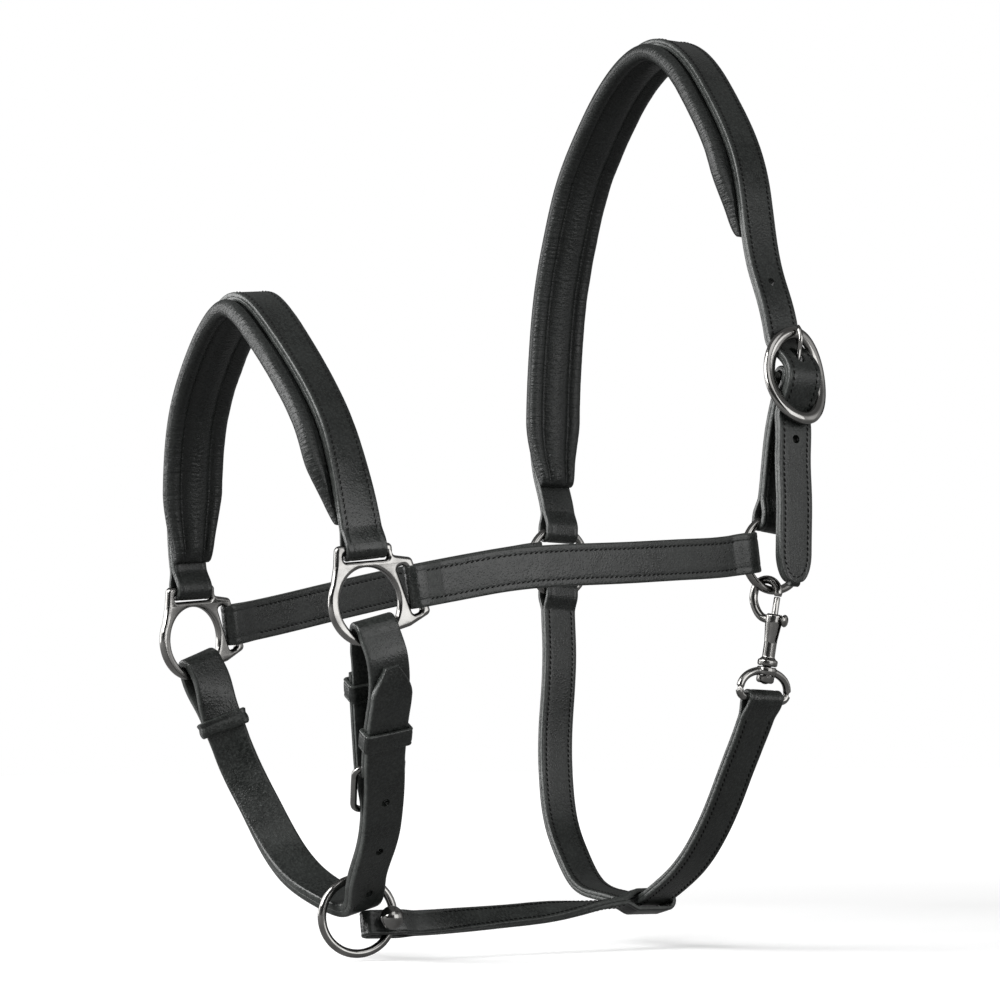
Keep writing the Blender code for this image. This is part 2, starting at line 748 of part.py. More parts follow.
def cheek(name, side):
    """A doubled strap from a nose fitting's side bar to a cheek ring."""
    a = on_fitting(side, SIDE_REACH, SIDE_RISE)
    b = cheek_centre(side) - EYE_CENTRE * BACK
    near = ((.10, 1.6, .168), (.226, 4.5, .383), (.391, 6.2, .546), (.583, 6.2, .653),
            (.775, 4.3, .781), (.912, 1.6, .883))
    far = ((.10, 1.9, .114), (.281, 3.2, .337), (.50, 3.8, .60), (.72, 2.8, .81),
           (.885, 1.3, .936))
    points = [a, *run(a, b, near if side < 0 else far), b]
    widths = [(0, side_bar_axis(side)), (2, UP), (len(points) - 1, UP)]
    route = Route(points, widths, float(side))
    strap(name, route, Eye(0.0, BAR_EYE), Eye(route.at[-1], RING_EYE, RING_SLACK))


# Crown

CROWN_TOP = np.array((0.0, 0.0, PAD_DEPTH))
BAR = cheek_centre(-1) + (CHEEK_LEAD + 0.5, -BUCKLE_OUT, BUCKLE_RISE)
LEAN = math.radians(BUCKLE_TILT)
B_UP = unit((0.03, math.sin(LEAN), math.cos(LEAN)))
B_OUT = square((0.0, -math.cos(LEAN), math.sin(LEAN)), B_UP)
B_WIDE = np.cross(B_UP, B_OUT)
CHAPE_EYE = BUCKLE_BAR + 0.35 + CHAPE_PLY / 2
OVER_BAR = CHAPE_EYE + CHAPE_PLY / 2 + GAP + THICK / 2 + 0.1


def at_buckle(t, n, w=0.0):
    """A point from the crown buckle's bar: t up, n outward, w across."""
    return BAR + t * B_UP + n * B_OUT + w * B_WIDE


def crown_route():
    """From the far cheek ring over the poll, through the buckle to the tip."""
    a = cheek_centre(1) + EYE_CENTRE * UP
    far = ((0, -.004, .035), (-.6, -.085, .127), (-1.3, -.119, .260), (-1.2, -.102, .385),
           (-1.2, -.040, .538), (-1.2, .051, .646), (-1.1, .175, .754), (-.75, .356, .849),
           (-.2, .616, .947))
    near = ((-1.6, .148, .215), (-2.1, .196, .298), (-2.3, .247, .429), (-2.2, .308, .583),
            (-1.6, .420, .708), (-1.1, .563, .819), (-.5, .725, .921))
    side = BUCKLE_HALF_LENGTH * math.sqrt(1 - (HALF / BUCKLE_HALF_WIDTH) ** 2)
    under = bowed(side) - BUCKLE_WIRE - GAP - THICK / 2 - 0.4
    end = BUCKLE_HALF_LENGTH + 1.5
    hump = under + 0.66 * (OVER_BAR - under)
    wave = ((end, under + .5), (side, under), (.47 * side, hump), (0.0, OVER_BAR),
            (-.47 * side, hump), (-side, under), (-end, under + .3))
    tail = ((.20, 1.4), (.46, 4.8), (.71, 9.6), (1.0, 14.6))
    points = [a, *hang(a, CROWN_TOP, far), CROWN_TOP, *reversed(hang(BAR, CROWN_TOP, near))]
    points += [at_buckle(t, n) for t, n in wave]
    for share, fall in tail:
        t = -end - (BILLET_DROP - end) * share
        points.append(at_buckle(t, under - fall) - (2.5 + 3 * share) * BACK)
    widths = [(0, BACK), (10, BACK), (21, B_WIDE), (len(points) - 1, BACK)]
    return Route(points, widths, -1.0), 21


def pointed(s, tip):
    """Half the billet's width where it narrows to its rounded tip."""
    d = (tip - s) / 14.0
    if d >= 1.0:
        return HALF
    return HALF * (0.28 + 0.72 * math.sqrt(max(0.0, 1 - (1 - max(d, 0.0)) ** 2)))


def crown():
    """Crown strap with its billet, and the pad under its far and top part."""
    route, bar_point = crown_route()
    bar_at, tip = route.at[bar_point], route.at[-1]
    eye = Eye(0.0, RING_EYE, RING_SLACK)
    pad_a = 24.0
    pad_b = bar_at - 77.0
    arch = route.marks(eye.clear(), bar_at - 34.0)
    wave = route.marks(bar_at - 34.0, bar_at + 34.0, 17.0, 40.0)[1:]
    tail = route.marks(bar_at + 34.0, tip - 14.0)[1:]
    extra = pad_ends(pad_a, pad_b)
    point = [tip - d for d in (10.0, 6.0, 3.0, 1.0, 0.0)]
    marks = merged(arch, extra) + wave + tail + point
    stations = [d for d in eye.offsets()[:-1]] + marks
    n = [fold(s, eye.radius, eye.slack, eye.taper, PITCH) for s in stations]
    line = list(zip(stations, n)) + arc(tip, PITCH, 90, -90, 4)
    line += [(s, -k) for s, k in reversed(list(zip(stations, n)))]
    line += arc(0.0, eye.radius, -90, -270)
    ob = make("crown_strap", *ribbon(route, line, PLY, lambda s: pointed(s, tip)), LEATHER)
    reach = THICK
    cutters = [slot(route, bar_at - 14.5, bar_at - 4.0, TONGUE + 0.8, -reach, reach)]
    cutters += [hole(route, bar_at + d, -reach, reach) for d in (-51.0, 33.0)]
    combine(ob, cutters, "DIFFERENCE")
    pad("crown_pad", route, pad_a, pad_b, marks, PAD_SHIFT[::-1])


def crown_chape():
    """Short strap from the near cheek ring to the buckle's bar, slotted for the tongue."""
    a = cheek_centre(-1) + EYE_CENTRE * UP
    points = [a, *run(a, BAR, ((.36, -2.4, .28), (.62, -3.0, .61))), BAR]
    route = Route(points, [(0, BACK), (3, B_WIDE)], -1.0)
    end = route.at[-1]
    start, stop = Eye(0.0, RING_EYE, RING_SLACK), Eye(end, CHAPE_EYE, 2.0, 10.0)
    ob, _ = strap("crown_chape", route, start, stop, ply=CHAPE_PLY,
                  pitch=(CHAPE_PLY + SLIT) / 2)
    combine(ob, [slot(route, end - 7.0, end + 9.0, 2.9, -7.0, 7.0)], "DIFFERENCE")


def bowed(t):
    """Outward bow of the crown buckle's frame at t from its bar."""
    return BUCKLE_BOW * (t / BUCKLE_HALF_LENGTH) ** 2


def crown_buckle():
    """Oval frame with a middle bar, and its tongue."""
    path = []
    for i in range(36):
        a = 2 * math.pi * (i + 0.5) / 36
        t = BUCKLE_HALF_LENGTH * math.sin(a)
        path.append(at_buckle(t, bowed(t), BUCKLE_HALF_WIDTH * math.cos(a)))
    frame = make("crown_buckle_frame", *tube(path, BUCKLE_WIRE, B_OUT, closed=True), NICKEL)
    ends = [at_buckle(0, 0, w) for w in (-BUCKLE_HALF_WIDTH, BUCKLE_HALF_WIDTH)]
    bar = make("bar", *tube(ends, BUCKLE_BAR, B_OUT, 12), NICKEL)
    combine(frame, [bar], "UNION")
    rest = bowed(BUCKLE_HALF_LENGTH) + BUCKLE_WIRE + GAP + TONGUE
    tube_mid = BUCKLE_BAR + GAP + TONGUE_TUBE / 2
    path = [at_buckle(t, n) for t, n in ((tube_mid, 0.6), (4.5, 2.0), (7.5, 3.9), (12.0, 5.6),
                                         (17.5, rest + .5), (BUCKLE_HALF_LENGTH, rest),
                                         (BUCKLE_HALF_LENGTH + 2.0, rest - .1))]
    return tongue("crown_buckle_tongue", BAR, B_WIDE, B_UP, path, BUCKLE_BAR + GAP, 2.4)


def tongue(name, centre, axis, ref, path, bore, half):
    """A tongue: a short tube round its bar, and a bar that rests on the frame."""
    outer = bore + TONGUE_TUBE
    profile = [(bore, -half), (outer, -half), (outer, half), (bore, half)]
    hub = make(name, *turned(profile, centre, axis, ref, 20, True), NICKEL, origin=centre)
    points, radii = domed(path, TONGUE, TONGUE * 0.8)
    prong = make("prong", *tube(points[2:], radii[2:], axis), NICKEL)
    return combine(hub, [prong], "UNION")


# Bolt snap

RING_CROSS = 4.0          # where the hook crosses the near cheek ring, before its lowest point
SNAP_AXIS = unit((-0.106, 0.110, -0.989))
SNAP_SIDE = square((0.5, -0.866, 0.0), SNAP_AXIS)
SNAP_DEEP = np.cross(SNAP_SIDE, SNAP_AXIS)
HOOK_MIDDLE = HOOK_RADIUS - 0.2         # hook's middle inward of the swivel's axis
HOOK_SEAT = 0.6                         # play between the hook's top and the ring
HOOK_LIFT = HOOK_RADIUS - SNAP_WIRE - RING_WIRE - HOOK_SEAT


def snap_origin():
    """Where the swivel's axis passes the cheek ring's wire."""
    drop = math.sqrt(RING_RADIUS ** 2 - RING_CROSS ** 2)
    wire = cheek_centre(-1) + (-RING_CROSS, 0.0, -drop)
    return wire + HOOK_MIDDLE * SNAP_SIDE


def on_snap(h, a, b=0.0):
    """A point of the snap: h outward from its axis, a down along it, b through it."""
    return snap_origin() + h * SNAP_SIDE + a * SNAP_AXIS + b * SNAP_DEEP


BARREL_END = BARREL_TOP + BARREL_LENGTH
COLLAR_END = BARREL_END + COLLAR_HEIGHT
BOSS_TOP = COLLAR_END + GAP
BOSS_END = BOSS_TOP + BOSS_HEIGHT
NUT_TOP = BOSS_END + GAP
DEE_BAR = BOSS_END + DEE_DEPTH - BOSS_HEIGHT


def snap():
    """Hook and barrel in one, the thumb bolt, the swivel's eye and its nut."""
    origin, axis = snap_origin(), SNAP_AXIS
    bore = BOLT_RADIUS + 0.35
    depth = BARREL_TOP + 19.0
    taper = 0.75 * BARREL_RADIUS
    profile = [(0, COLLAR_END + BOSS_HEIGHT + NUT_HEIGHT + 1.2), (SWIVEL_PIN, NUT_TOP + NUT_HEIGHT),
               (SWIVEL_PIN, COLLAR_END), (COLLAR_RADIUS - .8, COLLAR_END),
               (COLLAR_RADIUS, COLLAR_END - .8), (COLLAR_RADIUS, BARREL_END + .8),
               (COLLAR_RADIUS - .8, BARREL_END), (taper, BARREL_END - 1.0),
               (taper, BARREL_END - 8.0), (BARREL_RADIUS, BARREL_TOP + 4.0),
               (BARREL_RADIUS, BARREL_TOP + .8), (BARREL_RADIUS - .8, BARREL_TOP),
               (0, BARREL_TOP)]
    body = make("snap_body", *turned(profile, origin, axis, SNAP_SIDE, 20), NICKEL, origin=origin)
    mid = -HOOK_MIDDLE
    rows = [(-2.0, BARREL_TOP + 3.0), (-6.2, BARREL_TOP + 2.2), (mid - HOOK_RADIUS + 1.6, 9.0)]
    turns = np.radians(np.linspace(180, 0, 10))
    bow = [(mid + HOOK_RADIUS * math.cos(t), HOOK_LIFT - HOOK_RADIUS * math.sin(t)) for t in turns]
    rows += [(mid - HOOK_RADIUS, 4.6)] + bow + [(mid + HOOK_RADIUS, HOOK_LIFT + 1.2)]
    radii = [SNAP_WIRE] * (len(rows) - 2) + [SNAP_WIRE * .95, SNAP_WIRE * .85]
    hook = make("hook", *tube([on_snap(h, a) for h, a in rows], radii, SNAP_DEEP), NICKEL)
    combine(body, [hook], "UNION")
    tip = rows[-1][1]
    knob_at = BARREL_TOP + 2.6
    low, high = BARREL_TOP - 2.0, knob_at + BOLT_TRAVEL + 1.7
    rings = []
    for h in (0.2, 2 * BARREL_RADIUS):
        loop = [(low, -1.5), (high - 1.0, -1.5), (high, -.6), (high, .6), (high - 1.0, 1.5), (low, 1.5)]
        rings.append([on_snap(h, a, b) for a, b in loop])
    drill = [(0, BARREL_TOP - 1.5), (bore, BARREL_TOP - 1.5), (bore, depth), (0, depth + 1.0)]
    cutters = [make("drill", *turned(drill, origin, axis, SNAP_SIDE, 16), NICKEL),
               make("way", *skin(rings, False), NICKEL)]
    combine(body, cutters, "DIFFERENCE")
    top, foot = tip + GAP, BARREL_TOP + 9.5
    profile = [(0, top), (BOLT_RADIUS - .3, top), (BOLT_RADIUS, top + .4), (BOLT_RADIUS, foot), (0, foot)]
    bolt = make("snap_bolt", *turned(profile, origin, axis, SNAP_SIDE, 16), NICKEL,
                origin=on_snap(0, knob_at))
    out = BARREL_RADIUS + 0.4
    profile = [(0, 0), (1.1, 0), (1.1, out), (2.6, out), (3.0, out + .9), (2.4, out + 2.0), (0, out + 2.3)]
    knob = make("knob", *turned(profile, on_snap(0, knob_at), SNAP_SIDE, axis, 14), NICKEL)
    combine(bolt, [knob], "UNION")
    swivel_eye()
    profile = [(SWIVEL_PIN + GAP, NUT_TOP), (4.2, NUT_TOP), (4.2, NUT_TOP + NUT_HEIGHT - 1.0),
               (3.2, NUT_TOP + NUT_HEIGHT), (SWIVEL_PIN + GAP, NUT_TOP + NUT_HEIGHT)]
    make("snap_swivel_nut", *turned(profile, origin, axis, SNAP_SIDE, 16, True), NICKEL,
         origin=origin)


def dee_axis():
    """Direction of the dee's strap bar."""
    return square((0.97, 0.0, -0.2), SNAP_AXIS)


def swivel_eye():
    """Dee for the throat strap, with a bored boss at its top."""
    wide = dee_axis()
    deep = np.cross(wide, SNAP_AXIS)
    half, bar = DEE_HALF_WIDTH, DEE_BAR
    mid = (BOSS_TOP + BOSS_END) / 2
    corners = [(0.0, mid, 0.0), (-half * .62, mid, 5.0), (-half, mid + 6.5, 4.0), (-half, bar, 3.4),
               (half, bar, 3.4), (half, mid + 6.5, 4.0), (half * .62, mid, 5.0)]
    origin = snap_origin()
    path = [origin + p[0] * wide + p[1] * SNAP_AXIS for p in rounded(corners, 25.0)]
    dee = make("snap_swivel_eye", *tube(path, DEE_WIRE, deep, closed=True), NICKEL)
    boss = [(0, BOSS_TOP), (4.5, BOSS_TOP), (4.8, mid), (4.5, BOSS_END), (0, BOSS_END)]
    hub = make("boss", *turned(boss, origin, SNAP_AXIS, wide, 20), NICKEL)
    combine(dee, [hub], "UNION")
    bore = [(0, BOSS_TOP - 3), (SWIVEL_PIN + GAP, BOSS_TOP - 3), (SWIVEL_PIN + GAP, BOSS_END + 3),
            (0, BOSS_END + 3)]
    combine(dee, [make("bore", *turned(bore, origin, SNAP_AXIS, wide, 16), NICKEL)], "DIFFERENCE")


# Throat


def throat_foot():
    """Lowest point of the throat strap, where the connector hangs."""
    return np.array((-CHEEK_LEAD - THROAT_LEAD, 0.0, -CHEEK_DROP - THROAT_DEPTH))


def throat_route():
    """From the snap's dee under the throat and up to the far cheek ring."""
    near = snap_origin() + DEE_BAR * SNAP_AXIS
    far = cheek_centre(1) - EYE_CENTRE * UP
    foot = throat_foot()
    fall = ((0, .050, .090), (0, .144, .234), (0, .240, .377), (0, .335, .520),
            (0, .453, .666), (0, .617, .813), (0, .847, .941))
    rise = ((0, .282, .007), (0, .565, .038), (0, .742, .131), (0, .858, .226),
            (0, .936, .372), (0, .964, .519), (0, .957, .666), (0, .965, .815), (0, .995, .945))
    points = [near, *hang(near, foot, fall), foot, *hang(foot, far, rise), far]
    widths = [(0, dee_axis()), (2, BACK), (len(points) - 1, BACK)]
    return Route(points, widths, -1.0), 8


def throat():
    """Doubled strap under the throat."""
    route, foot_point = throat_route()
    foot_at = route.at[foot_point]
    at_foot = [foot_at + d * CONNECTOR_WIDTH * 0.7 for d in (-1, 0, 1)]
    dee_eye = DEE_WIRE + 0.4 + PLY / 2
    strap("throat_strap", route, Eye(0.0, dee_eye), Eye(route.at[-1], RING_EYE, RING_SLACK), at_foot)


# Chin

FOLD_NEAR = FITTING_HALF_THICK + 1.3
CHIN_CHAPE = 2.6
HEEL_EYE = CHIN_BAR + 0.35 + CHIN_CHAPE / 2
HEEL_OVER = HEEL_EYE + CHIN_CHAPE / 2 + GAP + CHIN_PLY / 2
FRONT_BAR_IN = CHIN_PITCH + CHIN_PLY / 2 + GAP + 0.1 + CHIN_BAR
LEG_WIDTH = unit((0.95, -0.20, 0.24))
FOOT_WIDTH = unit((0.967, 0.08, 0.24))
FAR_WIDTH = unit((0.76, -0.50, 0.415))
RING_NORMAL = unit((-0.242, -0.970, 0.0))
RING_SIDE = np.cross(UP, RING_NORMAL)
RING_BELOW = 5.0          # chin ring's middle below the chin strap's


def chin_foot():
    """Lowest point of the chin strap's middle."""
    return np.array((-CHEEK_LEAD - FACE_LENGTH + CHIN_BACK, 0.0, -NOSE_DROP - CHIN_DEPTH))


def chin_ring_centre():
    """Middle of the ring that hangs on the chin strap."""
    return chin_foot() - RING_BELOW * UP


def chin_route():
    """From inside the near fitting's ring under the chin to the far one."""
    near, near_width = chin_loop(-1)
    far, far_width = chin_loop(1)
    foot = chin_foot()
    fall = ((-.3, .031, .113), (-.8, .123, .234), (-1.3, .233, .371), (-1.0, .326, .484),
            (-.9, .422, .629), (-1.8, .593, .782), (-2.5, .777, .903))
    rise = ((-4.3, .209, .045), (-5.4, .459, .143), (-4.0, .609, .251), (-2.3, .746, .413),
            (-1.3, .858, .574), (-.7, .908, .709), (-.4, .946, .834), (.2, .986, .935))
    points = [near, *hang(near, foot, fall), foot, *hang(foot, far, rise), far]
    widths = [(0, near_width), (4, LEG_WIDTH), (8, FOOT_WIDTH), (13, FAR_WIDTH), (17, far_width)]
    return Route(points, widths, -1.0)


def leaf(s):
    """Half spacing of the near chape's legs between the fitting and the heel bar."""
    top = FOLD_NEAR + CHIN_CHAPE / 2
    shares = (0.0, .13, .33, .53, .73, .90, 1.0)
    rise = (0.0, .60, 1.0, .84, .45, .10, 0.0)
    base = np.interp(s / HEEL_DEPTH, (0.0, 1.0), (top, HEEL_EYE))
    return float(base + (BELLY - (top + HEEL_EYE) / 2) * np.interp(s / HEEL_DEPTH, shares, rise))


def outer_ply(s):
    """Outward place of the chin strap's outer end over the chape."""
    if s <= HEEL_DEPTH:
        return leaf(s) + HEEL_OVER - HEEL_EYE
    return settle(s, HEEL_DEPTH, HEEL_DEPTH + 28.0, HEEL_OVER, CHIN_PITCH)


def inner_ply(s):
    """Inward place of the buckled end."""
    if s <= HEEL_DEPTH:
        return -(leaf(s) + HEEL_OVER - HEEL_EYE)
    return settle(s, HEEL_DEPTH, HEEL_DEPTH + CHIN_BUCKLE_LENGTH - 2.0, -HEEL_OVER, -CHIN_PITCH)


def chin():
    """Chin strap, its near chape and buckle, and three keepers."""
    route = chin_route()
    end = route.at[-1]
    legs = [HEEL_DEPTH * t for t in (0.0, .07, .13, .23, .33, .43, .53, .63, .73, .82, .90, 1.0)]
    line = [(s, leaf(s)) for s in legs] + arc(HEEL_DEPTH, HEEL_EYE, 90, -90)
    line += [(s, -leaf(s)) for s in reversed(legs)]
    line += arc(0.0, leaf(0.0), -90, -270)
    chape = make("chin_chape", *ribbon(route, line, CHIN_CHAPE, lambda s: HALF), LEATHER)
    combine(chape, [slot(route, HEEL_DEPTH - 6.5, HEEL_DEPTH + 8.0, 3.0, -7.5, 6.5)], "DIFFERENCE")

    tip, inner_end = CHIN_TIP, CHIN_INNER_END
    far_band = end - KEEPER_AT[2]
    shared = route.marks(HEEL_DEPTH + 32.0, far_band) + [far_band + KEEPER_FAR_HEIGHT / 2]
    far_offsets = (KEEPER_AT[2] - KEEPER_FAR_HEIGHT, 22.0, 17.0, 12.0, 7.0, 3.0, 0.0)
    far_half = (CHIN_PITCH, 2.5, 4.0, 5.2, 5.5, 5.0, FITTING_HALF_THICK + .7 + CHIN_PLY / 2)
    lead = [HEEL_DEPTH + d for d in (4.0, 9.0, 14.0, 19.0, 24.0, 28.0)]
    upper = [s for s in legs if s > tip + 14.0]
    outer = [(s, outer_ply(s)) for s in [tip, tip + 1.0, tip + 3.0, tip + 7.0, tip + 12.0]
             + upper + lead]
    outer += [(s, CHIN_PITCH) for s in shared]
    outer += [(end - d, n) for d, n in zip(far_offsets, far_half)]
    inner = [(s, inner_ply(s)) for s in [inner_end] + [s for s in legs if s > inner_end + 2.0] + lead]
    inner += [(s, -CHIN_PITCH) for s in shared]
    inner += [(end - d, -n) for d, n in zip(far_offsets, far_half)]
    line = outer + arc(end, far_half[-1], 90, -90) + list(reversed(inner))
    rings = []
    for i, p in enumerate(line):
        a = unit(np.subtract(p, line[i - 1])) if i else unit(np.subtract(line[1], p))
        b = unit(np.subtract(line[i + 1], p)) if i < len(line) - 1 else a
        rings.append(section(route, p, a, b, CHIN_PLY, chin_half(i, p[0], tip)))
    ob = make("chin_strap", *skin(rings, False), LEATHER)
    first = HEEL_DEPTH + CHIN_HOLE
    cutters = [hole(route, first, 0.0, 12.0)]
    cutters += [hole(route, first + CHIN_HOLE_PITCH * k, -8.0, 8.0) for k in (1, 2)]
    cutters.append(slot(route, HEEL_DEPTH + 2.6, HEEL_DEPTH + 12.8, 1.9, -12.0, 0.0))
    combine(ob, cutters, "DIFFERENCE")
    chin_buckle(route)

    ease = 0.45
    stack = HEEL_OVER - HEEL_EYE
    thick = (stack + CHIN_PLY / 2 + CHIN_CHAPE / 2) / 2 + ease
    lift = (stack + CHIN_PLY / 2 - CHIN_CHAPE / 2) / 2
    outer_at, inner_at, far_at = KEEPER_AT
    keeper("chin_keeper_outer", route, outer_at, KEEPER_HEIGHT, lambda s: leaf(s) + lift, thick,
           HALF + ease)
    keeper("chin_keeper_inner", route, inner_at, KEEPER_HEIGHT - 1.0, lambda s: -leaf(s) - lift,
           thick, HALF + ease)
    keeper("chin_keeper_far", route, end - far_at, KEEPER_FAR_HEIGHT, lambda s: 0.0,
           CHIN_PITCH + CHIN_PLY / 2 + ease, HALF + ease)


def chin_half(i, s, tip):
    """Half width along the chin strap, pointed at its outer end."""
    if i > 5:
        return HALF
    return HALF * (0.3 + 0.7 * math.sqrt(max(0.0, 1 - (1 - min((s - tip) / 12.0, 1.0)) ** 2)))


def chin_buckle(route):
    """Frame bowed to clear the strap, and its tongue."""
    half = HALF + 0.6 + CHIN_BAR
    length = CHIN_BUCKLE_LENGTH
    loop = rounded([(0.0, -half, 3.0), (length, -half, 5.0), (length, half, 5.0), (0.0, half, 3.0)], 30.0)
    path = []
    for s, w in loop:
        t = s / length
        path.append(route.place(HEEL_DEPTH + s, -FRONT_BAR_IN * t * (1.5 - .5 * t), w))
    middle = route.place(HEEL_DEPTH)
    _, along, across, out = route.frame(HEEL_DEPTH)
    make("chin_buckle_frame", *tube(path, CHIN_BAR, out, closed=True), NICKEL)
    rest = -(FRONT_BAR_IN + CHIN_BAR + GAP + TONGUE)
    rows = ((1.9, -0.6), (4.6, -2.6), (8.0, -5.4), (13.0, rest + .6), (length, rest),
            (length + 2.0, rest + .1))
    path = [route.place(HEEL_DEPTH + s, n) for s, n in rows]
    tongue("chin_buckle_tongue", middle, across, along, path, CHIN_BAR + 0.25, 1.9)


# Connector from the chin ring to the throat strap


def connector():
    """Narrow doubled strap, twisted a quarter turn, with a ball stud at the ring."""
    centre = chin_ring_centre()
    wire = centre + RING_RADIUS * RING_SIDE - 3.9 * UP
    throat_line, foot_point = throat_route()
    foot = throat_foot()
    foot_at = throat_line.at[foot_point]
    across = throat_line.frame(foot_at)[1]
    inward = 11.0
    head = wire - inward * RING_SIDE
    points = [head, wire + 3.0 * RING_SIDE, wire + (foot - wire) * .25 - 1.0 * UP,
              wire + (foot - wire) * .5 - 1.0 * UP, wire + (foot - wire) * .78 + .2 * UP,
              foot - 14.0 * BACK, foot]
    route = Route(points, [(0, UP), (1, UP), (3, unit(UP * .75 + across * .66)), (5, across)], 1.0)
    reach = HALF + 1.7
    half_height = THICK / 2 + 1.4
    start = Eye(0.0, RING_WIRE + 0.7 + PLY / 2, inward + 2.5, 9.0)
    stop = Eye(route.at[6] + reach - half_height, half_height + PLY / 2, 2 * reach - 1.6 * half_height, 8.0)
    ob, _ = strap("connector_strap", route, start, stop, half=CONNECTOR_WIDTH / 2)
    stud_at = inward - STUD_SET
    combine(ob, [hole(route, stud_at, -9.0, 9.0, STUD_POST + 0.3)], "DIFFERENCE")
    face = start.radius + PLY / 2 + GAP + 0.3
    point, along, _, out = route.frame(stud_at)
    side = -out if out[1] > 0 else out
    neck = face + 1.0
    profile = [(0, -face - 1.4), (2.8, -face - 1.1), (3.2, -face), (STUD_POST, -face),
               (STUD_POST, face), (3.0, face), (3.0, neck)]
    ball_mid = neck + STUD_BALL - .8
    for turn in (-40, -15, 10, 35, 60):
        t = math.radians(turn)
        profile.append((STUD_BALL * math.cos(t), ball_mid + STUD_BALL * math.sin(t)))
    profile.append((0, ball_mid + STUD_BALL))
    make("chin_stud", *turned(profile, point, side, along, 18), NICKEL)


def main():
    """Build the halter."""
    for ob in list(bpy.data.objects):
        bpy.data.objects.remove(ob, do_unlink=True)
    nose_fitting("nose_fitting_near", -1)
    nose_fitting("nose_fitting_far", 1)
    round_ring("cheek_ring_near", cheek_centre(-1), (0, 1, 0), BACK)
    round_ring("cheek_ring_far", cheek_centre(1), (0, 1, 0), BACK)
    round_ring("chin_ring", chin_ring_centre(), RING_NORMAL, UP)
    noseband()
    cheek("cheek_strap_near", -1)
    cheek("cheek_strap_far", 1)
    crown()
    crown_chape()
    crown_buckle()
    snap()
    throat()
    chin()
    connector()


main()
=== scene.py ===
"""Leather horse halter with a padded noseband and crown, dressed for its picture.

Every strap is cut as a straight blank, punched flat and then laid along its
route.  Sizes are in millimetres and become metres in the meshes.
The frame has +X back over the neck, +Y to the horse's right and +Z up, and its
origin is the inside of the crown pad at the poll.
"""
from __future__ import annotations

import logging
import math
from dataclasses import dataclass, field
from enum import Enum
from typing import Callable, Sequence

import bpy
import numpy as np
from bpy.types import Material, Node, NodeSocket, Object, World
from mathutils import Matrix, Vector, noise


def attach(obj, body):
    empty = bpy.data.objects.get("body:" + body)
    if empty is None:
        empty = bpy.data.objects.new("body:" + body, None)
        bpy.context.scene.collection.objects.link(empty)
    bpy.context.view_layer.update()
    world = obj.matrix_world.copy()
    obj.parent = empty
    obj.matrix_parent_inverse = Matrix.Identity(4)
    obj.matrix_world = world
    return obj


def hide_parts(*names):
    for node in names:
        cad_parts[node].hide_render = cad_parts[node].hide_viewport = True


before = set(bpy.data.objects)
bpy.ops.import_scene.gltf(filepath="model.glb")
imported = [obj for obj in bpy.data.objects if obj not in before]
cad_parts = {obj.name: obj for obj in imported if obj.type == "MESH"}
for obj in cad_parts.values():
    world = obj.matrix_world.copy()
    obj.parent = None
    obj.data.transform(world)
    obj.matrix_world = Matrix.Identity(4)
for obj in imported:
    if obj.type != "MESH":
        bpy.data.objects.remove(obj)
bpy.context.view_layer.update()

log = logging.getLogger("halter")

MM = 0.001
ROOT = "straps"

# Strap leather, shared by the whole halter
HALF = 9.5                 # half the width of a strap
PLY = 2.0
SLIT = 0.3                 # between two plies sewn together
GAP = 0.3                  # between touching pieces
THICK = 2 * PLY + SLIT
PITCH = (PLY + SLIT) / 2   # each ply's middle from the strap's middle
ROW = 6.8                  # stitch rows from the strap's middle
STITCH = 2.6               # from one stitch to the next
SUNK = 0.10                # the stitches' middle below the face
LINING = 0.12              # extra inside a ply, which closes the slit to a fine line
BAR_GAP = 0.35             # between a fold and a buckle's bar
FOLD_GAP = 0.7             # between a fold and a fitting's bar
PLY_STEP = 1.1             # greatest length of a blank's divisions
PLY_TURN = 0.14            # greatest turn of one division in a fold, in radians
EDGE_WEAR_AND_SHEEN = 0.8             # paleness at a strap's edges: wear and a painted highlight
EDGE_REACH = 0.9           # how far it reaches in

# Rings
RING_RADIUS = 17.2
RING_WIRE = 2.0
EYE_CENTRE = math.sqrt(RING_RADIUS ** 2 - HALF ** 2) + 0.15
RING_EYE = RING_WIRE + 0.8 + PLY / 2
RING_SLACK = RING_RADIUS - EYE_CENTRE

UP = np.array((0.0, 0.0, 1.0))
BACK = np.array((1.0, 0.0, 0.0))
CHIN_RING_AXIS = (-0.242, -0.970, 0.0)

# Meshes
WELD = 0.002               # points closer than this become one
CUT_VERTICES = 28          # round a punch
WHITE = (1.0, 1.0, 1.0, 1.0)

# Edges sharper than these degrees stay crisp
TURNED, LEATHER, ROUND, SOFT, CAST = 40.0, 50.0, 60.0, 70.0, 80.0

Array = np.ndarray
Vec = Sequence[float]
Points = Sequence[Vec]
Triple = tuple[float, float, float]


class Side(Enum):
    """Side of the horse that a piece hangs on."""

    NEAR = -1
    FAR = 1

    @property
    def word(self) -> str:
        """The side in the names of pieces."""
        return self.name.lower()


class Slot(Enum):
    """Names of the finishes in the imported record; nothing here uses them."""

    LEATHER = "black_leather"
    PADDING = "padding_leather"
    NICKEL = "dark_nickel"


def unit(v: Vec) -> Array:
    """The vector at length one."""
    v = np.asarray(v, float)
    return v / np.linalg.norm(v)


def square(v: Vec, axis: Vec) -> Array:
    """The part of v square to the axis, at length one.

    Args:
        v: The vector.
        axis: What it ends up square to.

    Returns:
        The unit vector.
    """
    axis = unit(axis)
    v = np.asarray(v, float)
    return unit(v - np.dot(v, axis) * axis)


def ease(t: Array | float) -> Array | float:
    """A smooth step from 0 to 1."""
    t = np.clip(t, 0.0, 1.0)
    return t * t * (3 - 2 * t)


# Finishes


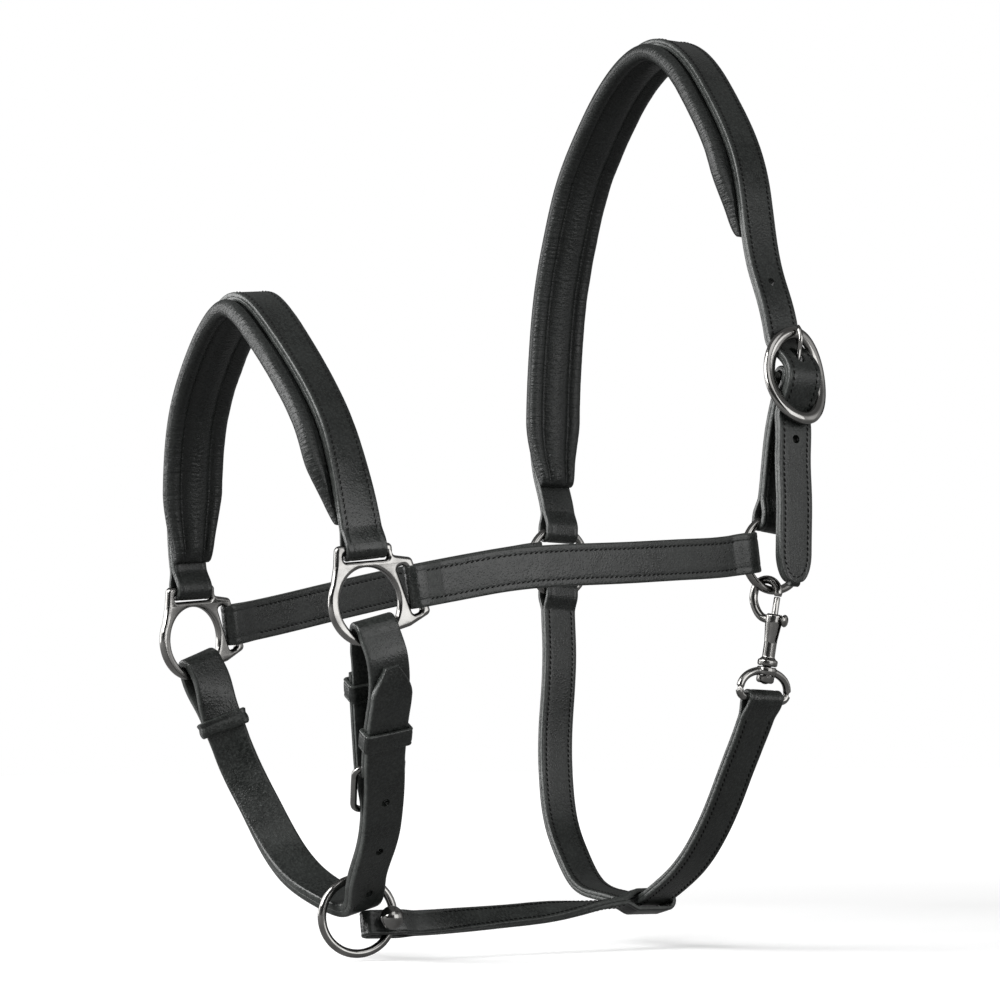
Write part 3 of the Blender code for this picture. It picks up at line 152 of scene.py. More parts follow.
class Nodes:
    """A material's or world's node tree, with short calls to add and join nodes."""

    def __init__(self, owner: Material | World) -> None:
        """Start with the shader that a new material or world has.

        Args:
            owner: The material or world.
        """
        owner.use_nodes = True
        self.owner, self.tree = owner, owner.node_tree
        first = "Background" if isinstance(owner, World) else "Principled BSDF"
        self.shader = self.tree.nodes[first]

    def add(self, kind: str, **values: object) -> Node:
        """Add a node and set its options or sockets.

        Args:
            kind: The node type without its ShaderNode prefix.
            values: Options by attribute name, or socket values by socket name.

        Returns:
            The new node.
        """
        node = self.tree.nodes.new("ShaderNode" + kind)
        for key, value in values.items():
            if hasattr(node, key):
                setattr(node, key, value)
            else:
                node.inputs[key.replace("_", " ")].default_value = value
        return node

    def join(self, out: NodeSocket, into: NodeSocket) -> None:
        """Link one socket to another."""
        self.tree.links.new(out, into)

    def give(self, name: str, value: NodeSocket | float | tuple) -> None:
        """Feed a socket of the shader.

        Args:
            name: The socket's name.
            value: Another socket, or a constant.
        """
        if isinstance(value, NodeSocket):
            self.join(value, self.shader.inputs[name])
        else:
            self.shader.inputs[name].default_value = value

    def places(self) -> NodeSocket:
        """Object coordinates, in metres."""
        return self.add("TexCoord").outputs["Object"]

    def noise(self, at: NodeSocket, scale: float, detail: float = 3.0,
              rough: float = 0.55) -> NodeSocket:
        """Noise at a scale.

        Args:
            at: Coordinates to read.
            scale: Features per metre.
            detail: Octaves.
            rough: Share of the finer octaves.

        Returns:
            The noise value's socket.
        """
        node = self.add("TexNoise", Scale=scale, Detail=detail, Roughness=rough)
        self.join(at, node.inputs["Vector"])
        return node.outputs["Fac"]

    def ramp(self, value: NodeSocket, low: float, high: float, a: float, b: float) -> NodeSocket:
        """Map a value from one range to another, held at its ends.

        Args:
            value: The value to map.
            low: Where the range starts.
            high: Where it ends.
            a: Result at low.
            b: Result at high.

        Returns:
            The result's socket.
        """
        node = self.add("MapRange")
        for key, number in (("From Min", low), ("From Max", high), ("To Min", a), ("To Max", b)):
            node.inputs[key].default_value = number
        self.join(value, node.inputs["Value"])
        return node.outputs["Result"]

    def math(self, how: str, *values: NodeSocket | float) -> NodeSocket:
        """Work out one number.

        Args:
            how: The Math node's operation.
            values: Sockets or constants.

        Returns:
            The result's socket.
        """
        node = self.add("Math", operation=how)
        for socket, value in zip(node.inputs, values):
            if isinstance(value, float):
                socket.default_value = value
            else:
                self.join(value, socket)
        return node.outputs[0]

    def plus(self, a: NodeSocket, b: NodeSocket, share: float) -> NodeSocket:
        """The first value and a share of the second."""
        return self.math("ADD", a, self.math("MULTIPLY", b, share))

    def blend(self, fac: NodeSocket, a: object, b: object) -> NodeSocket:
        """Mix two colours.

        Args:
            fac: How far from the first to the second.
            a: First colour, or a socket.
            b: Second colour, or a socket.

        Returns:
            The colour's socket.
        """
        node = self.add("Mix", data_type="RGBA")
        self.join(fac, node.inputs["Factor"])
        for colour, socket in ((a, node.inputs[6]), (b, node.inputs[7])):
            if isinstance(colour, tuple):
                socket.default_value = (*colour, 1.0)
            else:
                self.join(colour, socket)
        return node.outputs[2]

    def bump(self, height: NodeSocket, strength: float, depth: float,
             after: NodeSocket | None = None) -> NodeSocket:
        """Raise a surface by a height.

        Args:
            height: Height from 0 to 1.
            strength: How strongly it shows.
            depth: Real depth in metres.
            after: Normal of a coarser bump below it.

        Returns:
            The normal's socket.
        """
        node = self.add("Bump", Strength=strength, Distance=depth)
        self.join(height, node.inputs["Height"])
        if after is not None:
            self.join(after, node.inputs["Normal"])
        return node.outputs["Normal"]


@dataclass(frozen=True)
class LeatherFinish:
    """Dyed leather with pores, dye that varies, and paler places from wear and from a painted
    highlight and sheen.
    """

    name: str
    base: Triple = (0.0070, 0.0080, 0.0074)
    light: Triple = (0.0270, 0.0300, 0.0280)
    # Paler colour for wear and for the painted highlight and sheen
    worn_and_sheen: Triple = (0.050, 0.054, 0.051)
    smooth: float = 0.24
    rough: float = 0.40
    pores: float = 900.0
    relief: float = 0.36
    creases: float = 0.10
    specular: float = 0.36
    gathers: float = 0.0
    cloud_scale: float = 55.0
    speck_scale: float = 900.0
    patchy_scale: float = 420.0
    crease_scale: float = 260.0
    gather_scale: float = 620.0
    crease_depth: float = 0.0004
    gather_depth: float = 0.0005
    pore_depth: float = 0.0002

    def make(self) -> Material:
        """Build the material; along, round and the amount of paleness (wear, with a painted
        highlight and sheen on straps) are numbers kept in the meshes.

        Returns:
            The material.
        """
        n = Nodes(bpy.data.materials.new(self.name))
        at = n.places()
        wear_and_sheen = n.add("Attribute", attribute_name="wear_and_sheen").outputs["Fac"]
        cloud = n.noise(at, self.cloud_scale, 4.0)
        speck = n.noise(at, self.speck_scale, 2.0)
        specks = n.ramp(speck, 0.42, 0.68, 0.0, 1.0)
        dye = n.plus(n.ramp(cloud, 0.35, 0.70, 0.0, 0.35), specks, 0.65)
        body = n.blend(dye, self.base, self.light)
        # Painted highlight and sheen, with wear: paler where the meshes' amount says, broken up by
        # noise
        patchy = n.ramp(n.noise(at, self.patchy_scale), 0.32, 0.62, 0.25, 1.0)
        n.give("Base Color", n.blend(n.math("MULTIPLY", wear_and_sheen, patchy), body, self.worn_and_sheen))
        grain = n.add("TexVoronoi", Scale=self.pores, Randomness=1.0)
        n.join(at, grain.inputs["Vector"])
        cells = n.ramp(grain.outputs["Distance"], 0.05, 0.55, 1.0, 0.0)
        wrinkle = n.ramp(n.noise(at, self.crease_scale, 4.0, 0.6), 0.38, 0.66, 0.0, 1.0)
        normal = n.bump(wrinkle, self.creases, self.crease_depth)
        if self.gathers:
            flat = n.add("CombineXYZ")
            for name, socket in (("along", "X"), ("round", "Y")):
                n.join(n.add("Attribute", attribute_name=name).outputs["Fac"], flat.inputs[socket])
            folds = n.noise(flat.outputs[0], self.gather_scale, 2.0)
            folds = n.ramp(folds, 0.35, 0.65, 0.0, 1.0)
            normal = n.bump(folds, self.gathers, self.gather_depth, normal)
        normal = n.bump(cells, self.relief, self.pore_depth, normal)
        n.give("Normal", normal)
        n.give("Roughness", n.ramp(n.plus(cloud, speck, 0.5), 0.55, 0.95, self.smooth, self.rough))
        n.give("Specular IOR Level", self.specular)
        return n.owner


@dataclass(frozen=True)
class ThreadFinish:
    """Waxed thread with a fine twist."""

    name: str = "waxed_thread"
    base: Triple = (0.0015, 0.0015, 0.0015)
    light: Triple = (0.006, 0.006, 0.006)
    smooth: float = 0.65
    rough: float = 0.85
    specular: float = 0.15
    twist_scale: float = 3200.0
    twist_depth: float = 0.0001

    def make(self) -> Material:
        """Build the material.

        Returns:
            The material.
        """
        n = Nodes(bpy.data.materials.new(self.name))
        twist = n.noise(n.places(), self.twist_scale, 2.0)
        n.give("Base Color", n.blend(n.ramp(twist, 0.3, 0.7, 0.0, 1.0), self.base, self.light))
        n.give("Normal", n.bump(twist, 0.35, self.twist_depth))
        n.give("Roughness", n.ramp(twist, 0.3, 0.7, self.smooth, self.rough))
        n.give("Specular IOR Level", self.specular)
        return n.owner


@dataclass(frozen=True)
class MetalFinish:
    """Polished dark nickel with fine polishing marks and cast waviness."""

    name: str = "polished_dark_nickel"
    base: Triple = (0.24, 0.236, 0.228)
    dull: Triple = (0.16, 0.157, 0.152)
    smooth: float = 0.08
    rough: float = 0.22
    cloud_scale: float = 120.0
    line_scale: float = 1500.0
    line_stretch: float = 0.12
    line_depth: float = 0.00005
    wave_scale: float = 240.0
    wave_depth: float = 0.0003

    def make(self) -> Material:
        """Build the material.

        Returns:
            The material.
        """
        n = Nodes(bpy.data.materials.new(self.name))
        at = n.places()
        cloud = n.noise(at, self.cloud_scale, 5.0)
        marks = n.add("Mapping", vector_type="TEXTURE")
        marks.inputs["Scale"].default_value = (1.0, 1.0, self.line_stretch)
        n.join(at, marks.inputs["Vector"])
        lines = n.noise(marks.outputs["Vector"], self.line_scale, 2.0)
        n.give("Base Color", n.blend(n.ramp(cloud, 0.42, 0.72, 0.0, 1.0), self.base, self.dull))
        n.give("Roughness", n.ramp(n.plus(cloud, lines, 0.5), 0.6, 0.95, self.smooth, self.rough))
        normal = n.bump(n.noise(at, self.wave_scale, 2.0), 0.10, self.wave_depth)
        n.give("Normal", n.bump(lines, 0.03, self.line_depth, normal))
        n.give("Metallic", 1.0)
        return n.owner


# Work at the bench


def clear() -> None:
    """Leave edit mode and let go of every object."""
    if bpy.context.object and bpy.context.object.mode != "OBJECT":
        bpy.ops.object.mode_set(mode="OBJECT")
    bpy.ops.object.select_all(action="DESELECT")


def take(ob: Object) -> None:
    """Select only this object and make it active.

    Args:
        ob: The object.
    """
    clear()
    ob.select_set(True)
    bpy.context.view_layer.objects.active = ob


def apply(ob: Object, kind: str, **settings: object) -> None:
    """Add a modifier and apply it at once.

    Args:
        ob: The object.
        kind: The modifier's type.
        settings: Its settings.
    """
    take(ob)
    mod = ob.modifiers.new(kind.lower(), kind)
    for key, value in settings.items():
        setattr(mod, key, value)
    bpy.ops.object.modifier_apply(modifier=mod.name)


def coords(ob: Object) -> Array:
    """A mesh's points in millimetres.

    Args:
        ob: The object.

    Returns:
        One point per row.
    """
    flat = np.empty(len(ob.data.vertices) * 3)
    ob.data.vertices.foreach_get("co", flat)
    return flat.reshape(-1, 3) / MM


def move(ob: Object, points: Array) -> None:
    """Put a mesh's points at places given in millimetres."""
    ob.data.vertices.foreach_set("co", (points * MM).ravel())
    ob.data.update()


def matrix(origin: Vec, x: Vec, y: Vec, z: Vec) -> Matrix:
    """The matrix of a place from its origin in millimetres and its three directions."""
    rows = [[x[i], y[i], z[i], origin[i] * MM] for i in range(3)]
    return Matrix(rows + [[0.0, 0.0, 0.0, 1.0]])


def seal(ob: Object, weld: float = 0.0) -> None:
    """Weld points closer than a distance in millimetres, and turn all faces outward.

    Args:
        ob: The object.
        weld: That distance, or 0 to weld nothing.
    """
    take(ob)
    bpy.ops.object.mode_set(mode="EDIT")
    bpy.ops.mesh.select_all(action="SELECT")
    if weld:
        bpy.ops.mesh.remove_doubles(threshold=weld * MM)
    bpy.ops.mesh.normals_make_consistent(inside=False)
    bpy.ops.object.mode_set(mode="OBJECT")


def edge_wear_and_sheen(half: float, across: Array) -> Array:
    """Paleness of a strap's edges, at places across it: wear and a painted highlight."""
    return np.clip(1 - (half - np.abs(across)) / EDGE_REACH, 0.0, 1.0) * EDGE_WEAR_AND_SHEEN


def store(ob: Object, name: str, values: Array) -> None:
    """Keep one number per point for the materials to read."""
    layer = ob.data.attributes.new(name, "FLOAT", "POINT")
    layer.data.foreach_set("value", values.astype(float))


def finish_piece(ob: Object, material: Material, body: str,
                 nodes: Sequence[str] = (), angle: float = TURNED) -> None:
    """Shade a piece, give it its finish and fix it to its body.

    Args:
        ob: The piece.
        material: Its finish.
        body: The body that it rides on.
        nodes: CAD nodes that it replaces.
        angle: Edges sharper than this stay crisp, in degrees.
    """
    take(ob)
    ob.data.materials.clear()
    ob.data.materials.append(material)
    bpy.ops.object.shade_smooth_by_angle(angle=math.radians(angle))
    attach(ob, body)
    if nodes:
        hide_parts(*nodes)
    log.info("%s: %d points on %s", ob.name, len(ob.data.vertices), body)


def blank(name: str, outline: Points, length: float, cuts: int) -> Object:
    """Cut a straight strip: its outline is extruded along +X and divided crosswise.

    Args:
        name: The object's name.
        outline: Places (across, height) round its end, in millimetres.
        length: Length of the strip.
        cuts: Least number of divisions along it.

    Returns:
        The strip.
    """
    clear()
    bpy.ops.mesh.primitive_circle_add(vertices=len(outline), radius=HALF * MM, fill_type="NGON")
    ob = bpy.context.object
    ob.name = ob.data.name = name
    move(ob, np.array([(0.0, w, d) for w, d in outline]))
    bpy.ops.object.mode_set(mode="EDIT")
    bpy.ops.mesh.select_mode(type="EDGE")
    bpy.ops.mesh.select_all(action="SELECT")
    bpy.ops.mesh.extrude_region_move(TRANSFORM_OT_translate={"value": (length * MM, 0.0, 0.0)})
    first = math.ceil(math.sqrt(cuts))
    for count in (first, math.ceil(cuts / first)):
        bpy.ops.object.mode_set(mode="OBJECT")
        for edge in ob.data.edges:
            a, b = (ob.data.vertices[i].co for i in edge.vertices)
            edge.select = abs(a.x - b.x) > 0.02 * MM
        for part in (ob.data.vertices, ob.data.polygons):
            part.foreach_set("select", [False] * len(part))
        bpy.ops.object.mode_set(mode="EDIT")
        bpy.ops.mesh.subdivide(number_cuts=count - 1)
    seal(ob)
    return ob


def turned(name: str, profile: Points, origin: Vec, axis: Vec,
           ref: Vec, steps: int = 40, closed: bool = False) -> Object:
    """Turn a piece: a profile is drawn point by point and spun round an axis.

    Args:
        name: The object's name.
        profile: Places (radius, height) in millimetres.
        origin: Where the axis starts.
        axis: The axis.
        ref: A direction square to the axis.
        steps: Steps of the spin.
        closed: Whether the profile closes on itself, as a ring's does.

    Returns:
        The turned piece.
    """
    clear()
    bpy.ops.mesh.primitive_plane_add(size=MM)
    ob = bpy.context.object
    ob.name = ob.data.name = name
    bpy.ops.object.mode_set(mode="EDIT")
    bpy.ops.mesh.select_mode(type="VERT")
    bpy.ops.mesh.select_all(action="SELECT")
    bpy.ops.mesh.merge(type="CENTER")
    r, h = profile[0]
    bpy.ops.transform.translate(value=(r * MM, 0.0, h * MM))
    last = profile[0]
    for r, h in list(profile[1:]) + ([profile[0]] if closed else []):
        step = ((r - last[0]) * MM, 0.0, (h - last[1]) * MM)
        bpy.ops.mesh.extrude_region_move(TRANSFORM_OT_translate={"value": step})
        last = (r, h)
    bpy.ops.mesh.select_all(action="SELECT")
    bpy.ops.mesh.spin(steps=steps, angle=2 * math.pi, center=(0, 0, 0), axis=(0, 0, 1))
    seal(ob, WELD)
    z = unit(axis)
    x = square(ref, z)
    ob.data.transform(matrix(origin, x, np.cross(z, x), z))
    return ob


def drawn(name: str, lines: Sequence[Points], closed: bool, weld: float,
          **settings: object) -> Object:
    """Draw lines as a curve with a bevel, and turn it into a mesh.

    Args:
        name: The object's name.
        lines: Places (x, y, z, share of the bevel) of each line, in metres.
        closed: Whether each line joins its own start.
        weld: Points closer than this, in millimetres, become one.
        settings: The curve's settings.

    Returns:
        The mesh.
    """
    curve = bpy.data.curves.new(name, "CURVE")
    for key, value in settings.items():
        setattr(curve, key, value)
    for line in lines:
        spline = curve.splines.new("POLY")
        spline.points.add(len(line) - 1)
        for point, (*place, share) in zip(spline.points, line):
            point.co = (*place, 1.0)
            point.radius = share
        spline.use_cyclic_u = closed
    ob = bpy.data.objects.new(name, curve)
    bpy.context.collection.objects.link(ob)
    take(ob)
    bpy.ops.object.convert(target="MESH")
    ob = bpy.context.object
    seal(ob, weld)
    return ob


def wire(name: str, path: Points, radius: float | Vec, closed: bool = False) -> Object:
    """Bend a round wire along a path.

    Args:
        name: The object's name.
        path: Places in millimetres.
        radius: The wire's radius, or one at each place.
        closed: Whether it joins its own start.

    Returns:
        The wire as a mesh.
    """
    radii = np.broadcast_to(radius, (len(path),))
    line = [(*(Vector(place) * MM), float(r)) for place, r in zip(path, radii)]
    return drawn(name, [line], closed, WELD, dimensions="3D", bevel_depth=MM,
                 bevel_resolution=6, use_fill_caps=not closed)


def join_up(ob: Object, others: Sequence[Object], how: str) -> None:
    """Weld helpers to a piece or cut them from it.

    Args:
        ob: The piece.
        others: The helpers, which are used up.
        how: UNION or DIFFERENCE.
    """
    for other in others:
        apply(ob, "BOOLEAN", operation=how, object=other, solver="EXACT")
        bpy.data.objects.remove(other, do_unlink=True)


def cast(ob: Object, grain: float, passes: int) -> None:
    """Give a welded piece the soft edges of a casting.

    Args:
        ob: The piece.
        grain: Size of the remeshed faces.
        passes: Smoothing passes.
    """
    apply(ob, "REMESH", mode="VOXEL", voxel_size=grain * MM, use_smooth_shade=True)
    apply(ob, "SMOOTH", factor=0.5, iterations=passes)


def rounded(corners: Points, step: float = 12.0) -> list[Array]:
    """An outline's points from its corners.

    Args:
        corners: Rows (x, y, fillet radius).
        step: Degrees between the points of a fillet.

    Returns:
        The outline's points.
    """
    points = []
    for i, (x, y, r) in enumerate(corners):
        p = np.array((x, y))
        if r <= 0.0:
            points.append(p)
            continue
        a = unit(np.array(corners[i - 1][:2]) - p)
        b = unit(np.array(corners[(i + 1) % len(corners)][:2]) - p)
        half = 0.5 * math.acos(max(-1.0, min(1.0, float(np.dot(a, b)))))
        centre = p + unit(a + b) * r / math.sin(half)
        start = p + a * r / math.tan(half) - centre
        end = p + b * r / math.tan(half) - centre
        first = math.atan2(start[1], start[0])
        sweep = math.atan2(end[1], end[0]) - first
        sweep = (sweep + math.pi) % (2 * math.pi) - math.pi
        count = max(1, round(abs(math.degrees(sweep)) / step))
        for j in range(count + 1):
            t = first + sweep * j / count
            points.append(centre + r * np.array((math.cos(t), math.sin(t))))
    return points


def ellipse(a: float, b: float, start: float, end: float, count: int,
            middle: float = 0.0) -> list[Triple]:
    """Corners without fillets along an ellipse between two angles in degrees."""
    turns = np.radians(np.linspace(start, end, count))
    return [(middle + a * math.cos(t), b * math.sin(t), 0.0) for t in turns]


def plate(name: str, loops: Sequence[Points], half: float, edge: float, place: Matrix) -> Object:
    """Cast a plate with holes and rounded edges.

    Args:
        name: The object's name.
        loops: Its outline and holes, in millimetres.
        half: Half its thickness.
        edge: Radius of its edges.
        place: Where it lies.

    Returns:
        The plate.
    """
    lines = [[(x * MM, y * MM, 0.0, 1.0) for x, y in loop] for loop in loops]
    ob = drawn(name, lines, True, 2 * WELD, dimensions="2D", fill_mode="BOTH",
               extrude=(half - edge) * MM, bevel_depth=edge * MM, bevel_resolution=4,
               offset=-edge * MM)
    ob.data.transform(place)
    return ob


# Routes


class Route:
    """A smooth line through points, with a strap's width direction along it.

    A place on it is s along the line, n out from the head and w across the strap.
    """

    def __init__(self, points: Points, widths: Sequence[tuple[int, Vec]], side: float) -> None:
        """Fit the line and keep a table of its frames.

        Args:
            points: Places that it passes.
            widths: Width directions at some of those places, by index.
            side: 1 or -1, which way is out.
        """
        self.points = np.array(points, float)
        steps = np.linalg.norm(np.diff(self.points, axis=0), axis=1)
        self.at = np.concatenate(([0.0], np.cumsum(steps)))
        self.bend = self.bends(steps)
        self.widths = [(self.at[i], unit(w)) for i, w in widths]
        self.side = side
        self.grid = np.arange(-30.0, self.at[-1] + 30.0, 0.5)
        rows = [self.frame(s) for s in self.grid]
        self.table = [np.array([row[i] for row in rows]) for i in range(3)]

    def bends(self, h: Array) -> Array:
        """Second derivatives of the natural cubic line at its points.

        Args:
            h: Lengths between its points.

        Returns:
            One row per point.
        """
        p, count = self.points, len(self.points)
        left, right = np.eye(count), np.zeros((count, 3))
        for i in range(1, count - 1):
            left[i, i - 1:i + 2] = h[i - 1], 2 * (h[i - 1] + h[i]), h[i]
            right[i] = 6 * ((p[i + 1] - p[i]) / h[i] - (p[i] - p[i - 1]) / h[i - 1])
        return np.linalg.solve(left, right)

    def width(self, s: float) -> Array:
        """The width direction asked for at s.

        Args:
            s: Along the line.

        Returns:
            The unit vector.
        """
        for (s0, w0), (s1, w1) in zip(self.widths, self.widths[1:]):
            if s <= s1:
                t = ease((s - s0) / (s1 - s0))
                return unit((1 - t) * w0 + t * w1)
        return self.widths[-1][1]

    def frame(self, s: float) -> tuple[Array, Array, Array, Array]:
        """Point, width, outward and forward directions at s; straight past the ends.

        Args:
            s: Along the line.

        Returns:
            The four vectors.
        """
        u = min(max(s, self.at[0]), self.at[-1])
        i = min(max(int(np.searchsorted(self.at, u)) - 1, 0), len(self.at) - 2)
        h, t = self.at[i + 1] - self.at[i], u - self.at[i]
        p0, p1 = self.points[i], self.points[i + 1]
        m0, m1 = self.bend[i], self.bend[i + 1]
        slope = (p1 - p0) / h - h * (2 * m0 + m1) / 6
        point = p0 + slope * t + m0 * t * t / 2 + (m1 - m0) * t ** 3 / (6 * h)
        along = unit(slope + m0 * t + (m1 - m0) * t * t / (2 * h))
        across = square(self.width(s), along)
        out = self.side * unit(np.cross(across, along))
        return point + (s - u) * along, across, out, along

    def place(self, s: Array, n: Array, w: Array) -> Array:
        """Points in space, in millimetres, of places on the strap.

        Args:
            s: Along the line.
            n: Outward.
            w: Across.

        Returns:
            One point per row.
        """
        s, n, w = np.broadcast_arrays(*(np.atleast_1d(np.asarray(v, float)) for v in (s, n, w)))
        point, across, out = (
            np.stack([np.interp(s, self.grid, column[:, k]) for k in range(3)], 1)
            for column in self.table)
        return point + n[:, None] * out + w[:, None] * across


def hang(a: Vec, b: Vec, rows: Points) -> list[Array]:
    """Points from a to b; each row leads in X and has its shares across and down."""
    a, b = np.asarray(a), np.asarray(b)
    return [a + (b - a) * (fall, across, fall) + (lead, 0.0, 0.0) for lead, across, fall in rows]


def run(a: Vec, b: Vec, rows: Points) -> list[Array]:
    """Points from a to b; each row has its share along, its bow outward and its rise.

    Args:
        a: First point.
        b: Last point.
        rows: Rows (share, bow, rise).

    Returns:
        The points between.
    """
    a, b = np.asarray(a), np.asarray(b)
    out = math.copysign(1.0, a[1])
    return [a + (b - a) * (along, along, rise) + (0.0, out * bow, 0.0)
            for along, bow, rise in rows]


def arc(s: float, radius: float, start: float, end: float, count: int = 16) -> list[tuple]:
    """Places round a fold centred at s, without its two ends."""
    turns = np.radians(np.linspace(start, end, count + 1))[1:-1]
    return [(s + radius * math.cos(t), radius * math.sin(t)) for t in turns]


@dataclass(frozen=True)
class Eye:
    """A fold round a bar: s of the bar, the ply's middle radius, slack and taper."""

    s: float
    radius: float
    slack: float = 1.0
    taper: float = 9.0

    def spacing(self, s: Array, pitch: float) -> Array:
        """Half spacing of the plies at s."""
        away = (abs(s - self.s) - self.slack) / self.taper
        return self.radius + (pitch - self.radius) * ease(away)


class Lay:
    """A line of (s, n) places on a route, along which a blank is laid."""

    def __init__(self, route: Route, path: Points) -> None:
        """Measure the line.

        Args:
            route: The route it follows.
            path: Its places.
        """
        path = np.array(path, float)
        steps = np.linalg.norm(np.diff(path, axis=0), axis=1)
        path = path[np.concatenate(([True], steps > 1e-4))]
        steps = np.linalg.norm(np.diff(path, axis=0), axis=1)
        self.route, self.path = route, path
        self.closed = bool(np.allclose(path[0], path[-1]))
        self.x = np.concatenate(([0.0], np.cumsum(steps)))
        line = np.gradient(path, self.x, axis=0)
        line /= np.linalg.norm(line, axis=1)[:, None]
        self.normal = np.stack([-line[:, 1], line[:, 0]], 1)
        turn = np.abs(np.gradient(np.unwrap(np.arctan2(line[:, 1], line[:, 0]))))
        self.cost = np.concatenate(([0.0], np.cumsum(steps / PLY_STEP + turn[1:] / PLY_TURN)))

    @property
    def length(self) -> float:
        """Length of the blank."""
        return float(self.x[-1])

    def find(self, s: float, outer: bool = True) -> float:
        """Where on the blank a station lies, on its outer or its inner ply.

        Args:
            s: The station.
            outer: Which ply.

        Returns:
            Length along the blank.
        """
        half = self.path[:, 1] > 0 if outer else self.path[:, 1] < 0
        index = np.flatnonzero(half)
        return float(self.x[index[np.argmin(np.abs(self.path[index, 0] - s))]])

    def spread(self, u: Array) -> Array:
        """Lengths for even shares of the blank, closer together in the folds."""
        return np.interp(u * self.cost[-1], self.cost, self.x)

    def station(self, x: Array) -> Array:
        """Distance s of lengths along the blank."""
        return np.interp(x, self.x, self.path[:, 0])

    def place(self, x: Array, w: Array, d: Array) -> Array:
        """Points in space of places on the blank, d up from the ply's middle.

        Args:
            x: Along the blank.
            w: Across it.
            d: Up from its middle.

        Returns:
            One point per row.
        """
        s, n = (np.interp(x, self.x, self.path[:, k]) for k in (0, 1))
        a, b = (np.interp(x, self.x, self.normal[:, k]) for k in (0, 1))
        size = np.hypot(a, b)
        return self.route.place(s + d * a / size, n + d * b / size, w)


def doubled(start: Eye, end: Eye, pitch: float = PITCH, lap: float = 15.0) -> list[tuple]:
    """Places of a strap folded round two bars, its ends meeting on the inner ply.

    Args:
        start: First fold.
        end: Second fold.
        pitch: Each ply's middle from the strap's middle.
        lap: Where its ends meet, from the first bar.

    Returns:
        The line's (s, n) places.
    """
    s = np.linspace(start.s, end.s, max(40, int((end.s - start.s) / 0.8)))
    n = np.maximum(start.spacing(s, pitch), end.spacing(s, pitch))
    return folded(list(zip(s, n)), start.s + lap, arc(start.s, start.radius, -90, -270),
                  arc(end.s, end.radius, 90, -90))


def folded(out: list[tuple], meet: float, first: list[tuple], last: list[tuple]) -> list[tuple]:
    """Places of a closed strap from its outer ply and its two folds.

    Args:
        out: The outer ply's places; the inner one mirrors them.
        meet: Station where its ends meet on the inner ply.
        first: Places round the first fold.
        last: Places round the last fold.

    Returns:
        The line's (s, n) places.
    """
    back = [(s, -n) for s, n in reversed(out)]
    line = [p for p in back if p[0] <= meet] + first + out + last
    return line + [p for p in back if p[0] > meet] + line[:1]


def through(points: Points, step: float = 0.8) -> list[tuple]:
    """A smooth line through places, as a row of close ones.

    Args:
        points: The places.
        step: Between the close ones.

    Returns:
        The close ones.
    """
    p = np.array(points, float)
    at = np.concatenate(([0.0], np.cumsum(np.linalg.norm(np.diff(p, axis=0), axis=1))))
    slope = np.gradient(p, at, axis=0)
    result = []
    for i in range(len(p) - 1):
        h = at[i + 1] - at[i]
        for t in np.arange(0.0, 1.0, min(1.0, step / h)):
            start = (1 + 2 * t) * (1 - t) ** 2 * p[i] + t * (1 - t) ** 2 * h * slope[i]
            end = t * t * (3 - 2 * t), t * t * (t - 1) * h
            result.append(tuple(start + end[0] * p[i + 1] + end[1] * slope[i + 1]))
    return result + [tuple(p[-1])]


def ply_outline(half: float, ply: float, row: float | None, press: float = 0.16) -> list[tuple]:
    """A strap's cross-section (w, d): rounded edges, and grooves for its stitch rows.

    Args:
        half: Half its width.
        ply: Its thickness.
        row: Stitch rows from its middle, or None.
        press: Depth of the grooves.

    Returns:
        Places round it.
    """
    top, edge = ply / 2, 0.40 * ply
    low, corner = -ply / 2 - LINING, 0.15
    right = [(0.0, top)]
    if row is not None:
        right += [(row - 3.0, top), (row - 0.9, top - 0.02), (row - 0.42, top - 0.6 * press),
                  (row, top - press), (row + 0.42, top - 0.6 * press), (row + 0.9, top - 0.02)]
    else:
        right += [(half * 0.5, top), (half - 2.0, top)]
    for middle, radius, turns in ((top - edge, edge, (90, 62, 35, 8)),
                                  (low + corner, corner, (0, -45, -90))):
        for turn in turns:
            t = math.radians(turn)
            right.append((half - radius + radius * math.cos(t), middle + radius * math.sin(t)))
    right += [(half * 0.5, low), (0.0, low)]
    return right + [(-w, d) for w, d in reversed(right[1:-1])]


